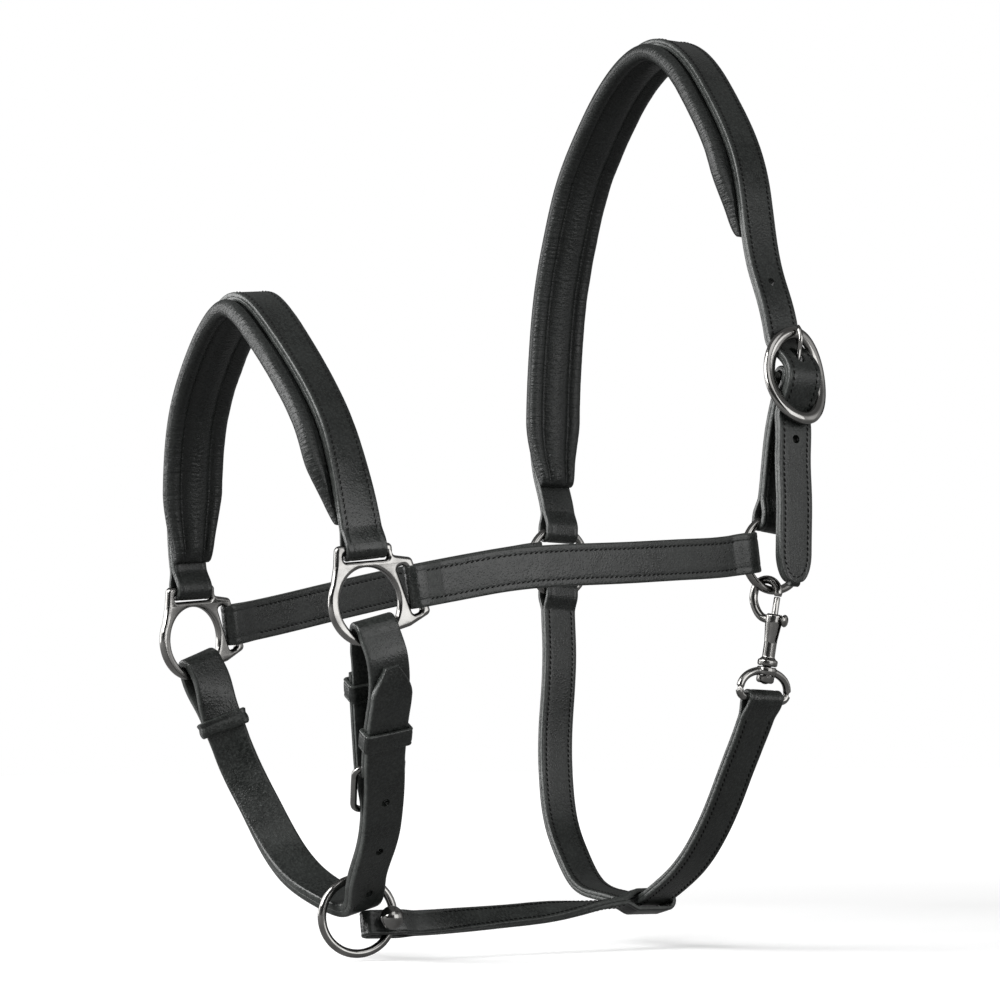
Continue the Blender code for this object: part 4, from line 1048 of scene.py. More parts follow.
@dataclass
class Strap:
    """A strap of one ply, cut flat, punched and laid along its line."""

    name: str
    lay: Lay
    half: float = HALF
    ply: float = PLY
    row: float | None = ROW
    narrow: Callable[[Array], Array] | None = None
    cutters: list[tuple] = field(default_factory=list)
    patches: list[Triple] = field(default_factory=list)
    patch_fade: float = 2.0
    patch_rise: float = 0.06
    wave: float = 0.07
    wave_length: float = 9.0
    wave_width: float = 14.0
    wave_fade: float = 5.0

    def build(self) -> Object:
        """Make the strap's mesh; patches are stretches of its blank painted paler as a sheen.

        Returns:
            The strap.
        """
        cuts = int(self.lay.cost[-1])
        ob = blank(self.name, ply_outline(self.half, self.ply, self.row), self.lay.length, cuts)
        flat = coords(ob)
        flat[:, 0] = self.lay.spread(flat[:, 0] / self.lay.length)
        move(ob, flat)
        join_up(ob, [self.cutter(*row) for row in self.cutters], "DIFFERENCE")
        flat = coords(ob)
        x, w, d = flat.T
        s = self.lay.station(x)
        # Edges painted paler: wear and a painted highlight
        rub_and_sheen = edge_wear_and_sheen(self.half, w)
        # Patches: painted sheen, paler in colour and a little raised
        for start, end, strength in self.patches:
            middle, reach = (start + end) / 2, (end - start) / 2
            inside = ease((reach - np.abs(x - middle)) / self.patch_fade)
            rub_and_sheen = np.maximum(rub_and_sheen, inside * strength)
            d = d + np.sign(d) * inside * self.patch_rise
        if self.narrow:
            w = w * self.narrow(s)
        wave = np.array([noise.noise(Vector((a / self.wave_length, b / self.wave_width, 0.7)))
                         for a, b in zip(x, w)])
        fade = np.clip(np.minimum(x, self.lay.length - x) / self.wave_fade, 0.0, 1.0)
        move(ob, self.lay.place(x, w, d + self.wave * wave * fade))
        # Paleness for the material: wear, painted highlight and painted sheen
        store(ob, "wear_and_sheen", rub_and_sheen)
        if self.lay.closed:
            self.weld(ob)
        return ob

    @staticmethod
    def weld(ob: Object) -> None:
        """Join the two ends of a strap that meets itself.

        Args:
            ob: The strap.
        """
        take(ob)
        bpy.ops.object.mode_set(mode="EDIT")
        bpy.ops.mesh.select_mode(type="FACE")
        bpy.ops.mesh.select_all(action="DESELECT")
        bpy.ops.object.mode_set(mode="OBJECT")
        sizes = np.array([len(f.vertices) for f in ob.data.polygons])
        for i in np.argsort(sizes)[-2:]:
            ob.data.polygons[i].select = True
        bpy.ops.object.mode_set(mode="EDIT")
        bpy.ops.mesh.delete(type="ONLY_FACE")
        seal(ob, 5 * WELD)

    def cutter(self, x: float, length: float, width: float) -> Object:
        """A punch for a round or long hole in the flat blank, centred at x.

        Args:
            x: Along the blank.
            length: Length of the hole.
            width: Its width.

        Returns:
            The punch.
        """
        clear()
        bpy.ops.mesh.primitive_cylinder_add(vertices=CUT_VERTICES, radius=width / 2 * MM,
                                            depth=4 * self.ply * MM, location=(0, 0, 0))
        ob = bpy.context.object
        flat = coords(ob)
        flat[:, 0] += x + np.sign(flat[:, 0].round(4)) * (length - width) / 2
        move(ob, flat)
        return ob


@dataclass
class Row:
    """A row of stitches on a lay, through places along and across its blank."""

    lay: Lay
    x: Vec
    w: Vec
    top: float

    def spots(self, pitch: float) -> Array:
        """Even places of the stitches: a row of lengths and a row of widths.

        Args:
            pitch: From one stitch to the next.

        Returns:
            The two rows.
        """
        line = np.array((self.x, self.w), float)
        at = np.concatenate(([0.0], np.cumsum(np.hypot(*np.diff(line, axis=1)))))
        even = np.linspace(0.0, at[-1], max(2, round(at[-1] / pitch)))
        return np.array([np.interp(even, at, row) for row in line])


class Needle:
    """Sews rows of stitches; the stitch is modelled once."""

    slant = math.radians(17.0)
    length = 0.40 * STITCH

    def __init__(self) -> None:
        """Model the stitch: a short bead of thread drawn in at both ends."""
        clear()
        bpy.ops.mesh.primitive_uv_sphere_add(segments=6, ring_count=4, radius=MM)
        ob = bpy.context.object
        bpy.ops.object.mode_set(mode="EDIT")
        bpy.ops.transform.resize(value=(0.50, 0.34, 1.0))
        bpy.ops.transform.rotate(value=math.pi / 2, orient_axis="Y", center_override=(0, 0, 0))
        bpy.ops.object.mode_set(mode="OBJECT")
        self.points = coords(ob)
        self.faces = [list(f.vertices) for f in ob.data.polygons]
        bpy.data.objects.remove(ob, do_unlink=True)

    def sew(self, name: str, rows: Sequence[Row]) -> Object:
        """Lay copies of the stitch along rows, all as one object.

        Args:
            name: The object's name.
            rows: The rows.

        Returns:
            The stitches.
        """
        points: list[Array] = []
        c, s = math.cos(self.slant), math.sin(self.slant)
        bead = self.points * (self.length, 1.0, 1.0) @ np.array(((c, s, 0), (-s, c, 0), (0, 0, 1)))
        for row in rows:
            x, w = row.spots(STITCH)
            dx, dw = np.gradient(np.stack([x, w]), axis=1)
            size = 0.3 / np.hypot(dx, dw)
            dx, dw = dx * size, dw * size
            top = np.full(len(x), row.top)
            at = row.lay.place(x, w, top)
            ahead = row.lay.place(x + dx, w + dw, top)
            beside = row.lay.place(x - dw, w + dx, top)
            for p, a, b in zip(at, ahead, beside):
                along = unit(a - p)
                across = square(b - p, along)
                points.append(p + bead @ np.stack([along, across, np.cross(along, across)]))
        size = len(bead)
        faces = [[i + k * size for i in f] for k in range(len(points)) for f in self.faces]
        mesh = bpy.data.meshes.new(name)
        mesh.from_pydata((np.concatenate(points) * MM).tolist(), [], faces)
        ob = bpy.data.objects.new(name, mesh)
        bpy.context.collection.objects.link(ob)
        seal(ob)
        return ob


@dataclass
class Bench:
    """The finishes and the needle that all sub-assemblies share."""

    leather: Material
    padding: Material
    nickel: Material
    thread: Material
    needle: Needle

    def strap(self, strap: Strap, node: str) -> None:
        """Build and dress a strap that replaces a node."""
        finish_piece(strap.build(), self.leather, ROOT, [node], LEATHER)

    def sewn(self, name: str, rows: Sequence[Row]) -> None:
        """Sew rows of stitches and dress them."""
        finish_piece(self.needle.sew(name, rows), self.thread, ROOT)

    def metal(self, ob: Object, node: str, body: str = ROOT, angle: float = TURNED) -> None:
        """Dress a metal piece that replaces a node."""
        finish_piece(ob, self.nickel, body, [node], angle)


def both_rows(lay: Lay, start: float, end: float, ply: float = PLY, row: float = ROW,
              outer_only: bool = False) -> list[Row]:
    """Stitch rows near both edges, on the outer and the inner face.

    Args:
        lay: The strap's lay.
        start: Station of the first stitch.
        end: Station of the last.
        ply: Thickness of a ply.
        row: Rows from the strap's middle.
        outer_only: Whether only the outer face shows them.

    Returns:
        The rows.
    """
    rows = []
    for outer in (True,) if outer_only else (True, False):
        a, b = lay.find(start, outer), lay.find(end, outer)
        if not outer and a < b:
            a = lay.length - 1.0
        rows += [Row(lay, (min(a, b), max(a, b)), (w, w), ply / 2 - SUNK) for w in (-row, row)]
    return rows


# Sub-assemblies


@dataclass
class Assembly:
    """A sub-assembly, made at the shared bench."""

    bench: Bench


@dataclass
class NoseFitting(Assembly):
    """Cast ring with a top slot for the noseband and a slanted side slot for the cheek."""

    side: Side
    face: float = 218.5
    lead: float = 5.0
    drop: float = 282.2
    span: float = 158.0
    skew: float = 6.2
    half_thick: float = 2.1
    edge: float = 1.7
    hole_width: float = 13.75
    hole_height: float = 15.6
    front_bar: float = 5.0
    rear_bar: float = 3.8
    bottom_bar: float = 3.8
    web: float = 2.8
    top_slot: float = 3.3
    top_bar: float = 4.0
    side_reach: float = 23.2
    side_rise: float = 5.5
    slant: float = 16.5
    side_bar: float = 4.0
    side_slot: float = 4.4
    top_play: float = 0.8
    side_play: float = 1.5
    side_wall: float = 2.0
    swings: tuple[float, float] = (9.0, 15.0)
    fold_inset: float = 2.6

    @property
    def top_rise(self) -> float:
        """Middle of the top bar above the ring's middle."""
        return self.hole_height + self.web + self.top_slot + self.top_bar / 2

    def axes(self) -> tuple[Array, Array]:
        """Rearward and upward directions of the plate.

        Returns:
            The two unit vectors.
        """
        sign = self.side.value
        back = unit((0.985, 0.19 * sign if sign < 0 else 0.10, 0.093))
        return back, square((-0.10, -0.025 - 0.025 * sign, 0.995), back)

    def centre(self) -> Array:
        """Middle of the ring.

        Returns:
            The point.
        """
        sign = self.side.value
        return np.array((-self.lead - self.face, sign * self.span / 2,
                         -self.drop - sign * self.skew))

    def point(self, u: float, v: float) -> Array:
        """A point of the plate, u back and v up."""
        back, up = self.axes()
        return self.centre() + u * back + v * up

    def side_axis(self) -> Array:
        """Direction up along the slanted side bar.

        Returns:
            The unit vector.
        """
        back, up = self.axes()
        slant = math.radians(self.slant)
        return -math.sin(slant) * back + math.cos(slant) * up

    def chin_loop(self) -> tuple[Array, Array]:
        """Middle of the chin strap's fold in the ring, and its width direction.

        Returns:
            The point and the unit vector.
        """
        swing = math.radians(self.swings[self.side is Side.FAR])
        back, up = self.axes()
        depth = self.hole_height - self.fold_inset
        point = self.point(depth * math.sin(swing), -depth * math.cos(swing))
        return point, math.cos(swing) * back + math.sin(swing) * up

    def side_place(self, along: float, across: float) -> tuple[float, float]:
        """Plate place from along the side bar and square to it.

        Args:
            along: Up along the bar.
            across: Back from it.

        Returns:
            The place (u, v).
        """
        slant = math.radians(self.slant)
        return (self.side_reach + across * math.cos(slant) - along * math.sin(slant),
                self.side_rise + across * math.sin(slant) + along * math.cos(slant))

    def build(self) -> None:
        """Cast the fitting and polish it."""
        slot_half, half = HALF + self.top_play, HALF + self.side_play
        front, rear = self.hole_width + self.front_bar, self.hole_width + self.rear_bar
        low, top = self.hole_height + self.bottom_bar, self.top_rise + self.top_bar / 2
        long = half + self.side_wall
        outer = self.side_bar / 2
        inner = outer + self.side_slot
        upper, lower = self.side_place(long, outer), self.side_place(-long, outer)
        arm = self.side_place(long, -inner - 1.0)
        neck = slot_half + 2.4
        corners = ellipse((front + rear) / 2, low, 152, 318, 44, (rear - front) / 2)
        corners += [(lower[0] - 10.2, lower[1] - 5.2, 3.0), (*lower, 2.4), (*upper, 2.4),
                    (neck, max(upper[1], arm[1]) + 1.6, 1.6), (neck, top, 2.2),
                    (-slot_half - 3.4, top, 2.6), (-slot_half - 4.4, self.hole_height + 1.5, 9.0)]
        ring = ellipse(self.hole_width, self.hole_height, 0, 354, 60)
        floor = self.hole_height + self.web
        ceiling = floor + self.top_slot
        top_slot = [(-slot_half, floor, 1.2), (-slot_half, ceiling, 1.2),
                    (slot_half, ceiling, 1.2), (slot_half, floor, 1.2)]
        ends = ((-half, -inner), (half, -inner), (half, -outer), (-half, -outer))
        side_slot = [(*self.side_place(a, b), 1.6) for a, b in ends]
        back, up = self.axes()
        place = matrix(self.centre(), back, up, np.cross(back, up))
        loops = [rounded(loop) for loop in (corners, ring, top_slot, side_slot)]
        word = self.side.word
        ob = plate(f"{word}_nose_fitting", loops, self.half_thick, self.edge, place)
        self.bench.metal(ob, f"nose_fitting_{word}", angle=LEATHER)


@dataclass
class CheekRing(Assembly):
    """Round wire ring that joins cheek, crown and throat."""

    side: Side
    lead: float = 5.0
    span: float = 176.8
    drop: float = 246.6
    skew: float = 1.9

    def centre(self) -> Array:
        """Middle of the ring."""
        sign = self.side.value
        return np.array((-self.lead, sign * self.span / 2, -self.drop + sign * self.skew))

    def build(self) -> None:
        """Bend the ring and polish it."""
        word = self.side.word
        ob = round_ring(f"{word}_cheek_ring", self.centre(), (0, 1, 0))
        self.bench.metal(ob, f"cheek_ring_{word}", f"{word}_cheek_ring", ROUND)


def round_ring(name: str, centre: Array, normal: Vec) -> Object:
    """A wire ring: the wire's section spun round the ring's axis.

    Args:
        name: The object's name.
        centre: Its middle.
        normal: Its axis.

    Returns:
        The ring.
    """
    turns = np.radians(np.arange(0, 360, 22.5))
    profile = [(RING_RADIUS + RING_WIRE * math.cos(t), RING_WIRE * math.sin(t)) for t in turns]
    ref = UP if abs(unit(normal)[2]) < 0.5 else BACK
    return turned(name, profile, centre, normal, ref, 72, True)


@dataclass
class Padding(Assembly):
    """A long soft cushion of three rolls under a strap."""

    name: str
    node: str
    route: Route
    start: float
    end: float
    shifts: tuple[float, float]
    width: float = 32.0
    depth: float = 10.3
    roll: float = 8.2
    roll_depth: float = 8.4
    groove: float = 3.2
    blunt: float = 10.0
    taper: float = 36.0
    wrinkle: float = 0.22
    step: float = 0.7
    bunch: float = 0.018
    rub_and_sheen: float = 0.08

    def outline(self) -> list[tuple[float, float]]:
        """Cross-section (w, n): flat under the strap, three rolls inside.

        Returns:
            Places round it.
        """
        top = -(THICK / 2 + GAP + 0.15)
        low, r = -self.depth, self.roll / 2
        middle = self.width / 2 - r
        level = low + 1.0 + self.roll_depth / 2
        half = [(w, top) for w in (0.0, 3.0, 6.0, HALF - 0.4)]
        for turn in range(130, -151, -14):
            t = math.radians(turn)
            half.append((middle + r * math.cos(t), level + self.roll_depth / 2 * math.sin(t)))
        edge = self.width / 2 - self.roll
        half.append((edge - 0.1, low + self.groove))
        for turn in (62, 48, 34, 22, 10, 0):
            t = math.radians(turn)
            half.append((edge * math.sin(t), low + (level - low) * (1 - math.cos(t))))
        return half + [(-w, n) for w, n in reversed(half[1:-1])]

    def build(self) -> None:
        """Fill the cushion, lay it under its strap and wrinkle its leather."""
        outline = self.outline()
        top = outline[0][1]
        length = self.end - self.start
        ob = blank(self.name, outline, length, int(length / self.step))
        x, w, n = coords(ob).T
        u = x / length
        s = self.start + length * (u - self.bunch * np.sin(2 * math.pi * u))
        d = np.minimum(s - self.start, self.end - s)
        t = np.sqrt(np.maximum(0.0, 1 - (1 - np.minimum(d / self.blunt, 1.0)) ** 2))
        full = ease(d / self.taper)
        least = (HALF + 1.2) / (self.width / 2)
        wide = (least + (1 - least) * full) * (0.9 + 0.1 * t)
        a, b = self.shifts
        shift = full * (a + (b - a) * ease(u))
        around = np.arctan2(n - top / 2 + self.depth / 2, w)
        soft = ease((top - n - 0.4) / 2.0)
        fold = self.folds(s, around) * soft * full * self.wrinkle
        depth = np.clip((n + self.depth) / self.groove, 0.0, 1.0)
        n = top + (n - top) * (0.35 + 0.65 * t)
        w = w * wide + shift
        n = n - fold * np.sin(around)
        w = w + fold * np.cos(around)
        n = np.minimum(n, top + np.maximum(0.0, np.abs(w) - HALF - 1.0) * 1.1)
        move(ob, self.route.place(s, n, w))
        store(ob, "wear_and_sheen", self.rub_and_sheen * (1 - depth) * soft)
        store(ob, "along", s * MM)
        store(ob, "round", around * self.roll / 4 * MM)
        finish_piece(ob, self.bench.padding, ROOT, [self.node], SOFT)

    @staticmethod
    def folds(s: Array, around: Array) -> Array:
        """Wrinkles across the rolls: fine ones with slower ones between.

        Args:
            s: Along the cushion.
            around: Angle round it.

        Returns:
            Heights from about -1 to 1.
        """
        result = np.empty(len(s))
        for i, (a, t) in enumerate(zip(s, around)):
            slow = noise.noise(Vector((a / 11.0, t * 1.3, 3.1)))
            fine = noise.noise(Vector((a / 2.6 + 1.2 * slow, t * 0.9, 8.7)))
            result[i] = 0.35 * fine + 1.1 * slow
        return result


@dataclass
class Noseband(Assembly):
    """Sewn strap over the nose on its rolled pad."""

    near: NoseFitting
    far: NoseFitting
    rise: float = 148.8
    lead: float = 14.0
    pad_inset: float = 12.5

    def route(self) -> Route:
        """Up from the near fitting, over the nose and down to the far one.

        Returns:
            The route.
        """
        a, b = (f.point(0, f.top_rise) for f in (self.near, self.far))
        top = np.array((-self.near.lead - self.near.face - self.lead, 2.0,
                        self.rise - self.near.drop))
        points = [a, *hang(a, top, ((0, .031, .122), (0, .091, .290), (0, .195, .474),
                                    (0, .366, .642), (0, .659, .856))),
                  top, *hang(top, b, ((0, .325, .073), (0, .584, .202), (0, .779, .339),
                                      (0, .922, .521), (0, 1.0, .719), (0, 1.02, .878))), b]
        widths = [(0, self.near.axes()[0]), (3, (0.99, 0.14, 0.0)), (6, (0.995, 0, 0.1)),
                  (13, self.far.axes()[0])]
        return Route(points, widths, 1.0)

    def build(self) -> None:
        """Make the strap, its stitching and the pad."""
        route = self.route()
        end = route.at[-1]
        radius = self.near.half_thick + FOLD_GAP + PLY / 2
        lay = Lay(route, doubled(Eye(0.0, radius), Eye(end, radius)))
        self.bench.strap(Strap("noseband_leather", lay), "noseband_strap")
        rows = both_rows(lay, 9.0, end - 9.0, outer_only=True)
        self.bench.sewn("noseband_stitching", rows)
        pad = Padding(self.bench, "noseband_padding", "noseband_pad", route, self.pad_inset,
                      end - self.pad_inset, (-2.6, 0.8))
        pad.build()


@dataclass
class Cheek(Assembly):
    """Doubled strap from a nose fitting to a cheek ring."""

    fitting: NoseFitting
    ring: CheekRing
    row: float = 6.3
    # Stretch by the fitting painted paler as a sheen: first and last station, strength
    sheen_patch: Triple = (3.0, 11.7, 0.6)

    def build(self) -> None:
        """Make the strap and its stitching."""
        side = self.fitting.side
        word = side.word
        a = self.fitting.point(self.fitting.side_reach, self.fitting.side_rise)
        b = self.ring.centre() - EYE_CENTRE * BACK
        near = ((.10, 1.6, .168), (.226, 4.5, .383), (.391, 6.2, .546), (.583, 6.2, .653),
                (.775, 4.3, .781), (.912, 1.6, .883))
        far = ((.10, 1.9, .095), (.281, 3.2, .295), (.50, 3.8, .535), (.72, 2.8, .755),
               (.885, 1.3, .905))
        points = [a, *run(a, b, near if side is Side.NEAR else far), b]
        widths = [(0, self.fitting.side_axis()), (2, UP), (len(points) - 1, UP)]
        route = Route(points, widths, float(side.value))
        end = route.at[-1]
        eye = Eye(0.0, self.fitting.half_thick + FOLD_GAP + PLY / 2, 1.0, 13.0)
        lay = Lay(route, doubled(eye, Eye(end, RING_EYE, RING_SLACK)))
        # The painted sheen patch
        first, last, strength = self.sheen_patch
        strap = Strap(f"{word}_cheek_leather", lay, row=self.row,
                      patches=[(lay.find(first), lay.find(last), strength)])
        self.bench.strap(strap, f"cheek_strap_{word}")
        self.bench.sewn(f"{word}_cheek_stitching", both_rows(lay, 4.8, end - 11.0, row=self.row))


@dataclass
class CrownBuckle(Assembly):
    """Oval frame with a middle bar, and its tongue."""

    ring: CheekRing
    rise: float = 83.2
    out: float = 10.0
    half_width: float = 15.7
    half_length: float = 21.8
    wire: float = 2.3
    bar: float = 1.9
    bow: float = 3.6
    tilt: float = 12.0
    prong: float = 1.2
    tube: float = 1.1
    inset: float = 0.75
    thin: float = 0.9

    @property
    def centre(self) -> Array:
        """Middle of the bar."""
        return self.ring.centre() + (self.ring.lead + 0.5, -self.out, self.rise)

    def axes(self) -> tuple[Array, Array, Array]:
        """Directions up, outward and across.

        Returns:
            The three unit vectors.
        """
        lean = math.radians(self.tilt)
        up = unit((0.03, math.sin(lean), math.cos(lean)))
        out = square((0.0, -math.cos(lean), math.sin(lean)), up)
        return up, out, np.cross(up, out)

    def at(self, t: float, n: float, w: float = 0.0) -> Array:
        """A point from the bar: t up, n outward, w across."""
        up, out, wide = self.axes()
        return self.centre + t * up + n * out + w * wide

    def bowed(self, t: Array | float) -> Array | float:
        """Outward bow of the frame at t from the bar."""
        return self.bow * (t / self.half_length) ** 2

    def build(self) -> None:
        """Make the frame and the tongue."""
        up, out, wide = self.axes()
        turns = np.radians(np.arange(0, 360, 4))
        long, broad = self.half_length - self.inset, self.half_width - self.inset
        path = [self.at(long * math.sin(a), self.bowed(long * math.sin(a)), broad * math.cos(a))
                for a in turns]
        rim = wire("crown_buckle_rim", path, self.wire, True)
        rel = coords(rim) - self.centre
        t, n, w = rel @ up, rel @ out, rel @ wide
        a = np.arctan2(t / long, w / broad)
        t0, w0 = long * np.sin(a), broad * np.cos(a)
        n0 = self.bowed(t0)
        flat = 1.0 + self.inset / self.wire
        places = ((t0 + (t - t0) * flat, up), (n0 + (n - n0) * self.thin, out),
                  (w0 + (w - w0) * flat, wide))
        move(rim, self.centre + sum(value[:, None] * axis for value, axis in places))
        ends = [self.at(0, 0, w) for w in (-self.half_width, self.half_width)]
        join_up(rim, [wire("bar", ends, self.bar)], "UNION")
        self.bench.metal(rim, "crown_buckle_frame")
        rest = self.bowed(self.half_length) + self.wire + GAP + self.prong
        path = [(self.bar + GAP + self.tube / 2, 0.6), (4.5, 2.0), (7.5, 3.9), (12.0, 5.6),
                (17.5, rest + .5), (self.half_length, rest), (self.half_length + 1.9, rest - .1)]
        line = [self.at(t, n) for t, n in through(path, 1.0)]
        ob = tongue("crown_tongue_prong", self.centre, wide, up, line, self.bar + GAP, 2.4,
                    self.prong, self.tube)
        self.bench.metal(ob, "crown_buckle_tongue", "crown_tongue")


def tongue(name: str, centre: Array, axis: Array, ref: Array, line: Points,
           bore: float, half: float, prong: float, wall: float) -> Object:
    """A buckle's tongue: a short tube round its bar, and a tapering prong.

    Args:
        name: The object's name.
        centre: Middle of the bar.
        axis: The bar's direction.
        ref: A direction square to the bar.
        line: The prong's middle.
        bore: Inner radius of the tube.
        half: Half its length.
        prong: The prong's radius.
        wall: The tube's wall.

    Returns:
        The tongue.
    """
    outer = bore + wall
    profile = [(bore, -half), (outer - .3, -half), (outer, -half + .3), (outer, half - .3),
               (outer - .3, half), (bore, half)]
    hub = turned(name, profile, centre, axis, ref, 32, True)
    radii = [prong] * (len(line) - 3) + [prong * share for share in (0.9, 0.65, 0.3)]
    join_up(hub, [wire("prong", line, radii)], "UNION")
    return hub


@dataclass
class Crown(Assembly):
    """Strap over the poll with its billet, its pad, and the buckle's chape."""

    near: CheekRing
    far: CheekRing
    buckle: CrownBuckle
    height: float = 10.3
    drop: float = 96.5
    hole: float = 4.0
    holes: tuple[float, float] = (-51.0, 33.0)
    slot: Triple = (9.8, 10.6, 5.0)
    chape_ply: float = 2.2
    point: float = 14.0
    pad_from: float = 24.0
    pad_to: float = 77.0

    def route(self) -> tuple[Route, int]:
        """From the far cheek ring over the poll, through the buckle to the tip.

        Returns:
            The route and the index of the buckle's bar.
        """
        top = np.array((0.0, 0.0, self.height))
        a = self.far.centre() + EYE_CENTRE * UP
        far = ((0, -.004, .035), (-.6, -.085, .127), (-1.3, -.119, .260), (-1.2, -.102, .385),
               (-1.2, -.040, .538), (-1.2, .051, .646), (-1.1, .175, .754), (-.75, .356, .849),
               (-.2, .616, .947))
        near = ((-2.0, .126, .215), (-2.3, .187, .298), (-2.3, .247, .429), (-2.2, .308, .583),
                (-1.6, .420, .708), (-1.1, .563, .819), (-.5, .725, .921))
        b = self.buckle
        eye = b.bar + BAR_GAP + self.chape_ply / 2
        over = eye + self.chape_ply / 2 + GAP + THICK / 2 + 0.1
        side = b.half_length * math.sqrt(1 - (HALF / b.half_width) ** 2)
        under = b.bowed(side) - b.wire - GAP - THICK / 2 - 0.4
        end = b.half_length + 1.5
        hump = under + 0.66 * (over - under)
        wave = ((end, under - .9, 1.8), (side, under - .4, 1.5), (.47 * side, hump, .6),
                (0.0, over, .6), (-.47 * side, hump, .8), (-side, under, 1.4), (-end, under, 2.1))
        points = [a, *hang(a, top, far), top, *reversed(hang(b.centre, top, near))]
        points += [b.at(t, n) - back * BACK for t, n, back in wave]
        for share, fall in ((.20, 1.6), (.46, 3.6), (.71, 6.6), (1.0, 10.2)):
            t = -end - (self.drop - end) * share
            points.append(b.at(t, under - fall) - (2.8 + 1.7 * share) * BACK)
        widths = [(0, BACK), (10, BACK), (21, b.axes()[2]), (len(points) - 1, BACK)]
        return Route(points, widths, -1.0), 21

    def build(self) -> None:
        """Make the crown strap, its pad, the chape and their stitching."""
        route, bar = self.route()
        bar_at, tip = route.at[bar], route.at[-1]
        eye = Eye(0.0, RING_EYE, RING_SLACK)
        s = np.linspace(0.0, tip, int(tip / 0.8))
        lay = Lay(route, folded(list(zip(s, eye.spacing(s, PITCH))), 15.0,
                                arc(0.0, eye.radius, -90, -270), arc(tip, PITCH, 90, -90, 8)))

        def narrow(s: Array) -> Array:
            """Share of the full width left at s, towards the rounded tip.

            Args:
                s: Along the strap.

            Returns:
                The shares.
            """
            d = np.clip((tip - s) / self.point, 0.0, 1.0)
            share = 0.28 + 0.72 * np.sqrt(np.maximum(0.0, 1 - (1 - d) ** 2))
            return np.where(d >= 1.0, 1.0, share)

        cutters = []
        slot_at, *slot = self.slot
        for outer in (True, False):
            cutters.append((lay.find(bar_at - slot_at, outer), *slot))
            cutters += [(lay.find(bar_at + d, outer), self.hole, self.hole) for d in self.holes]
        strap = Strap("crown_leather", lay, narrow=narrow, cutters=cutters)
        self.bench.strap(strap, "crown_strap")
        turns = np.radians(np.linspace(-90, 90, 25))
        rows = []
        for outer, first in ((True, 12.0), (False, bar_at - 70.0)):
            a, b = lay.find(first, outer), lay.find(tip - self.point, outer)
            sense = math.copysign(self.point - 2.4, b - a)
            x = [a, *(b + sense * np.cos(turns)), a]
            rows.append(Row(lay, x, [-ROW, *(ROW * np.sin(turns)), ROW], PLY / 2 - SUNK))
        self.bench.sewn("crown_stitching", rows)
        pad = Padding(self.bench, "crown_padding", "crown_pad", route, self.pad_from,
                      bar_at - self.pad_to, (0.8, -2.6))
        pad.build()
        self.chape()

    def chape(self) -> None:
        """Make the short strap from the near cheek ring to the buckle's bar."""
        a = self.near.centre() + EYE_CENTRE * UP
        b = self.buckle.centre
        points = [a, *run(a, b, ((.36, -2.4, .28), (.62, -3.0, .61))), b]
        route = Route(points, [(0, BACK), (3, self.buckle.axes()[2])], -1.0)
        end = route.at[-1]
        pitch = (self.chape_ply + SLIT) / 2
        stop = Eye(end, self.buckle.bar + BAR_GAP + self.chape_ply / 2, 2.0, 10.0)
        lay = Lay(route, doubled(Eye(0.0, RING_EYE, RING_SLACK), stop, pitch, 22.0))
        fold = (lay.find(end - 0.3) + lay.find(end - 0.3, False)) / 2
        strap = Strap("crown_chape_leather", lay, ply=self.chape_ply,
                      cutters=[(fold, 2 * 7.0 + 12.0, 5.8)])
        self.bench.strap(strap, "crown_chape")
        self.bench.sewn("crown_chape_stitching", both_rows(lay, 12.0, end - 13.0, self.chape_ply))


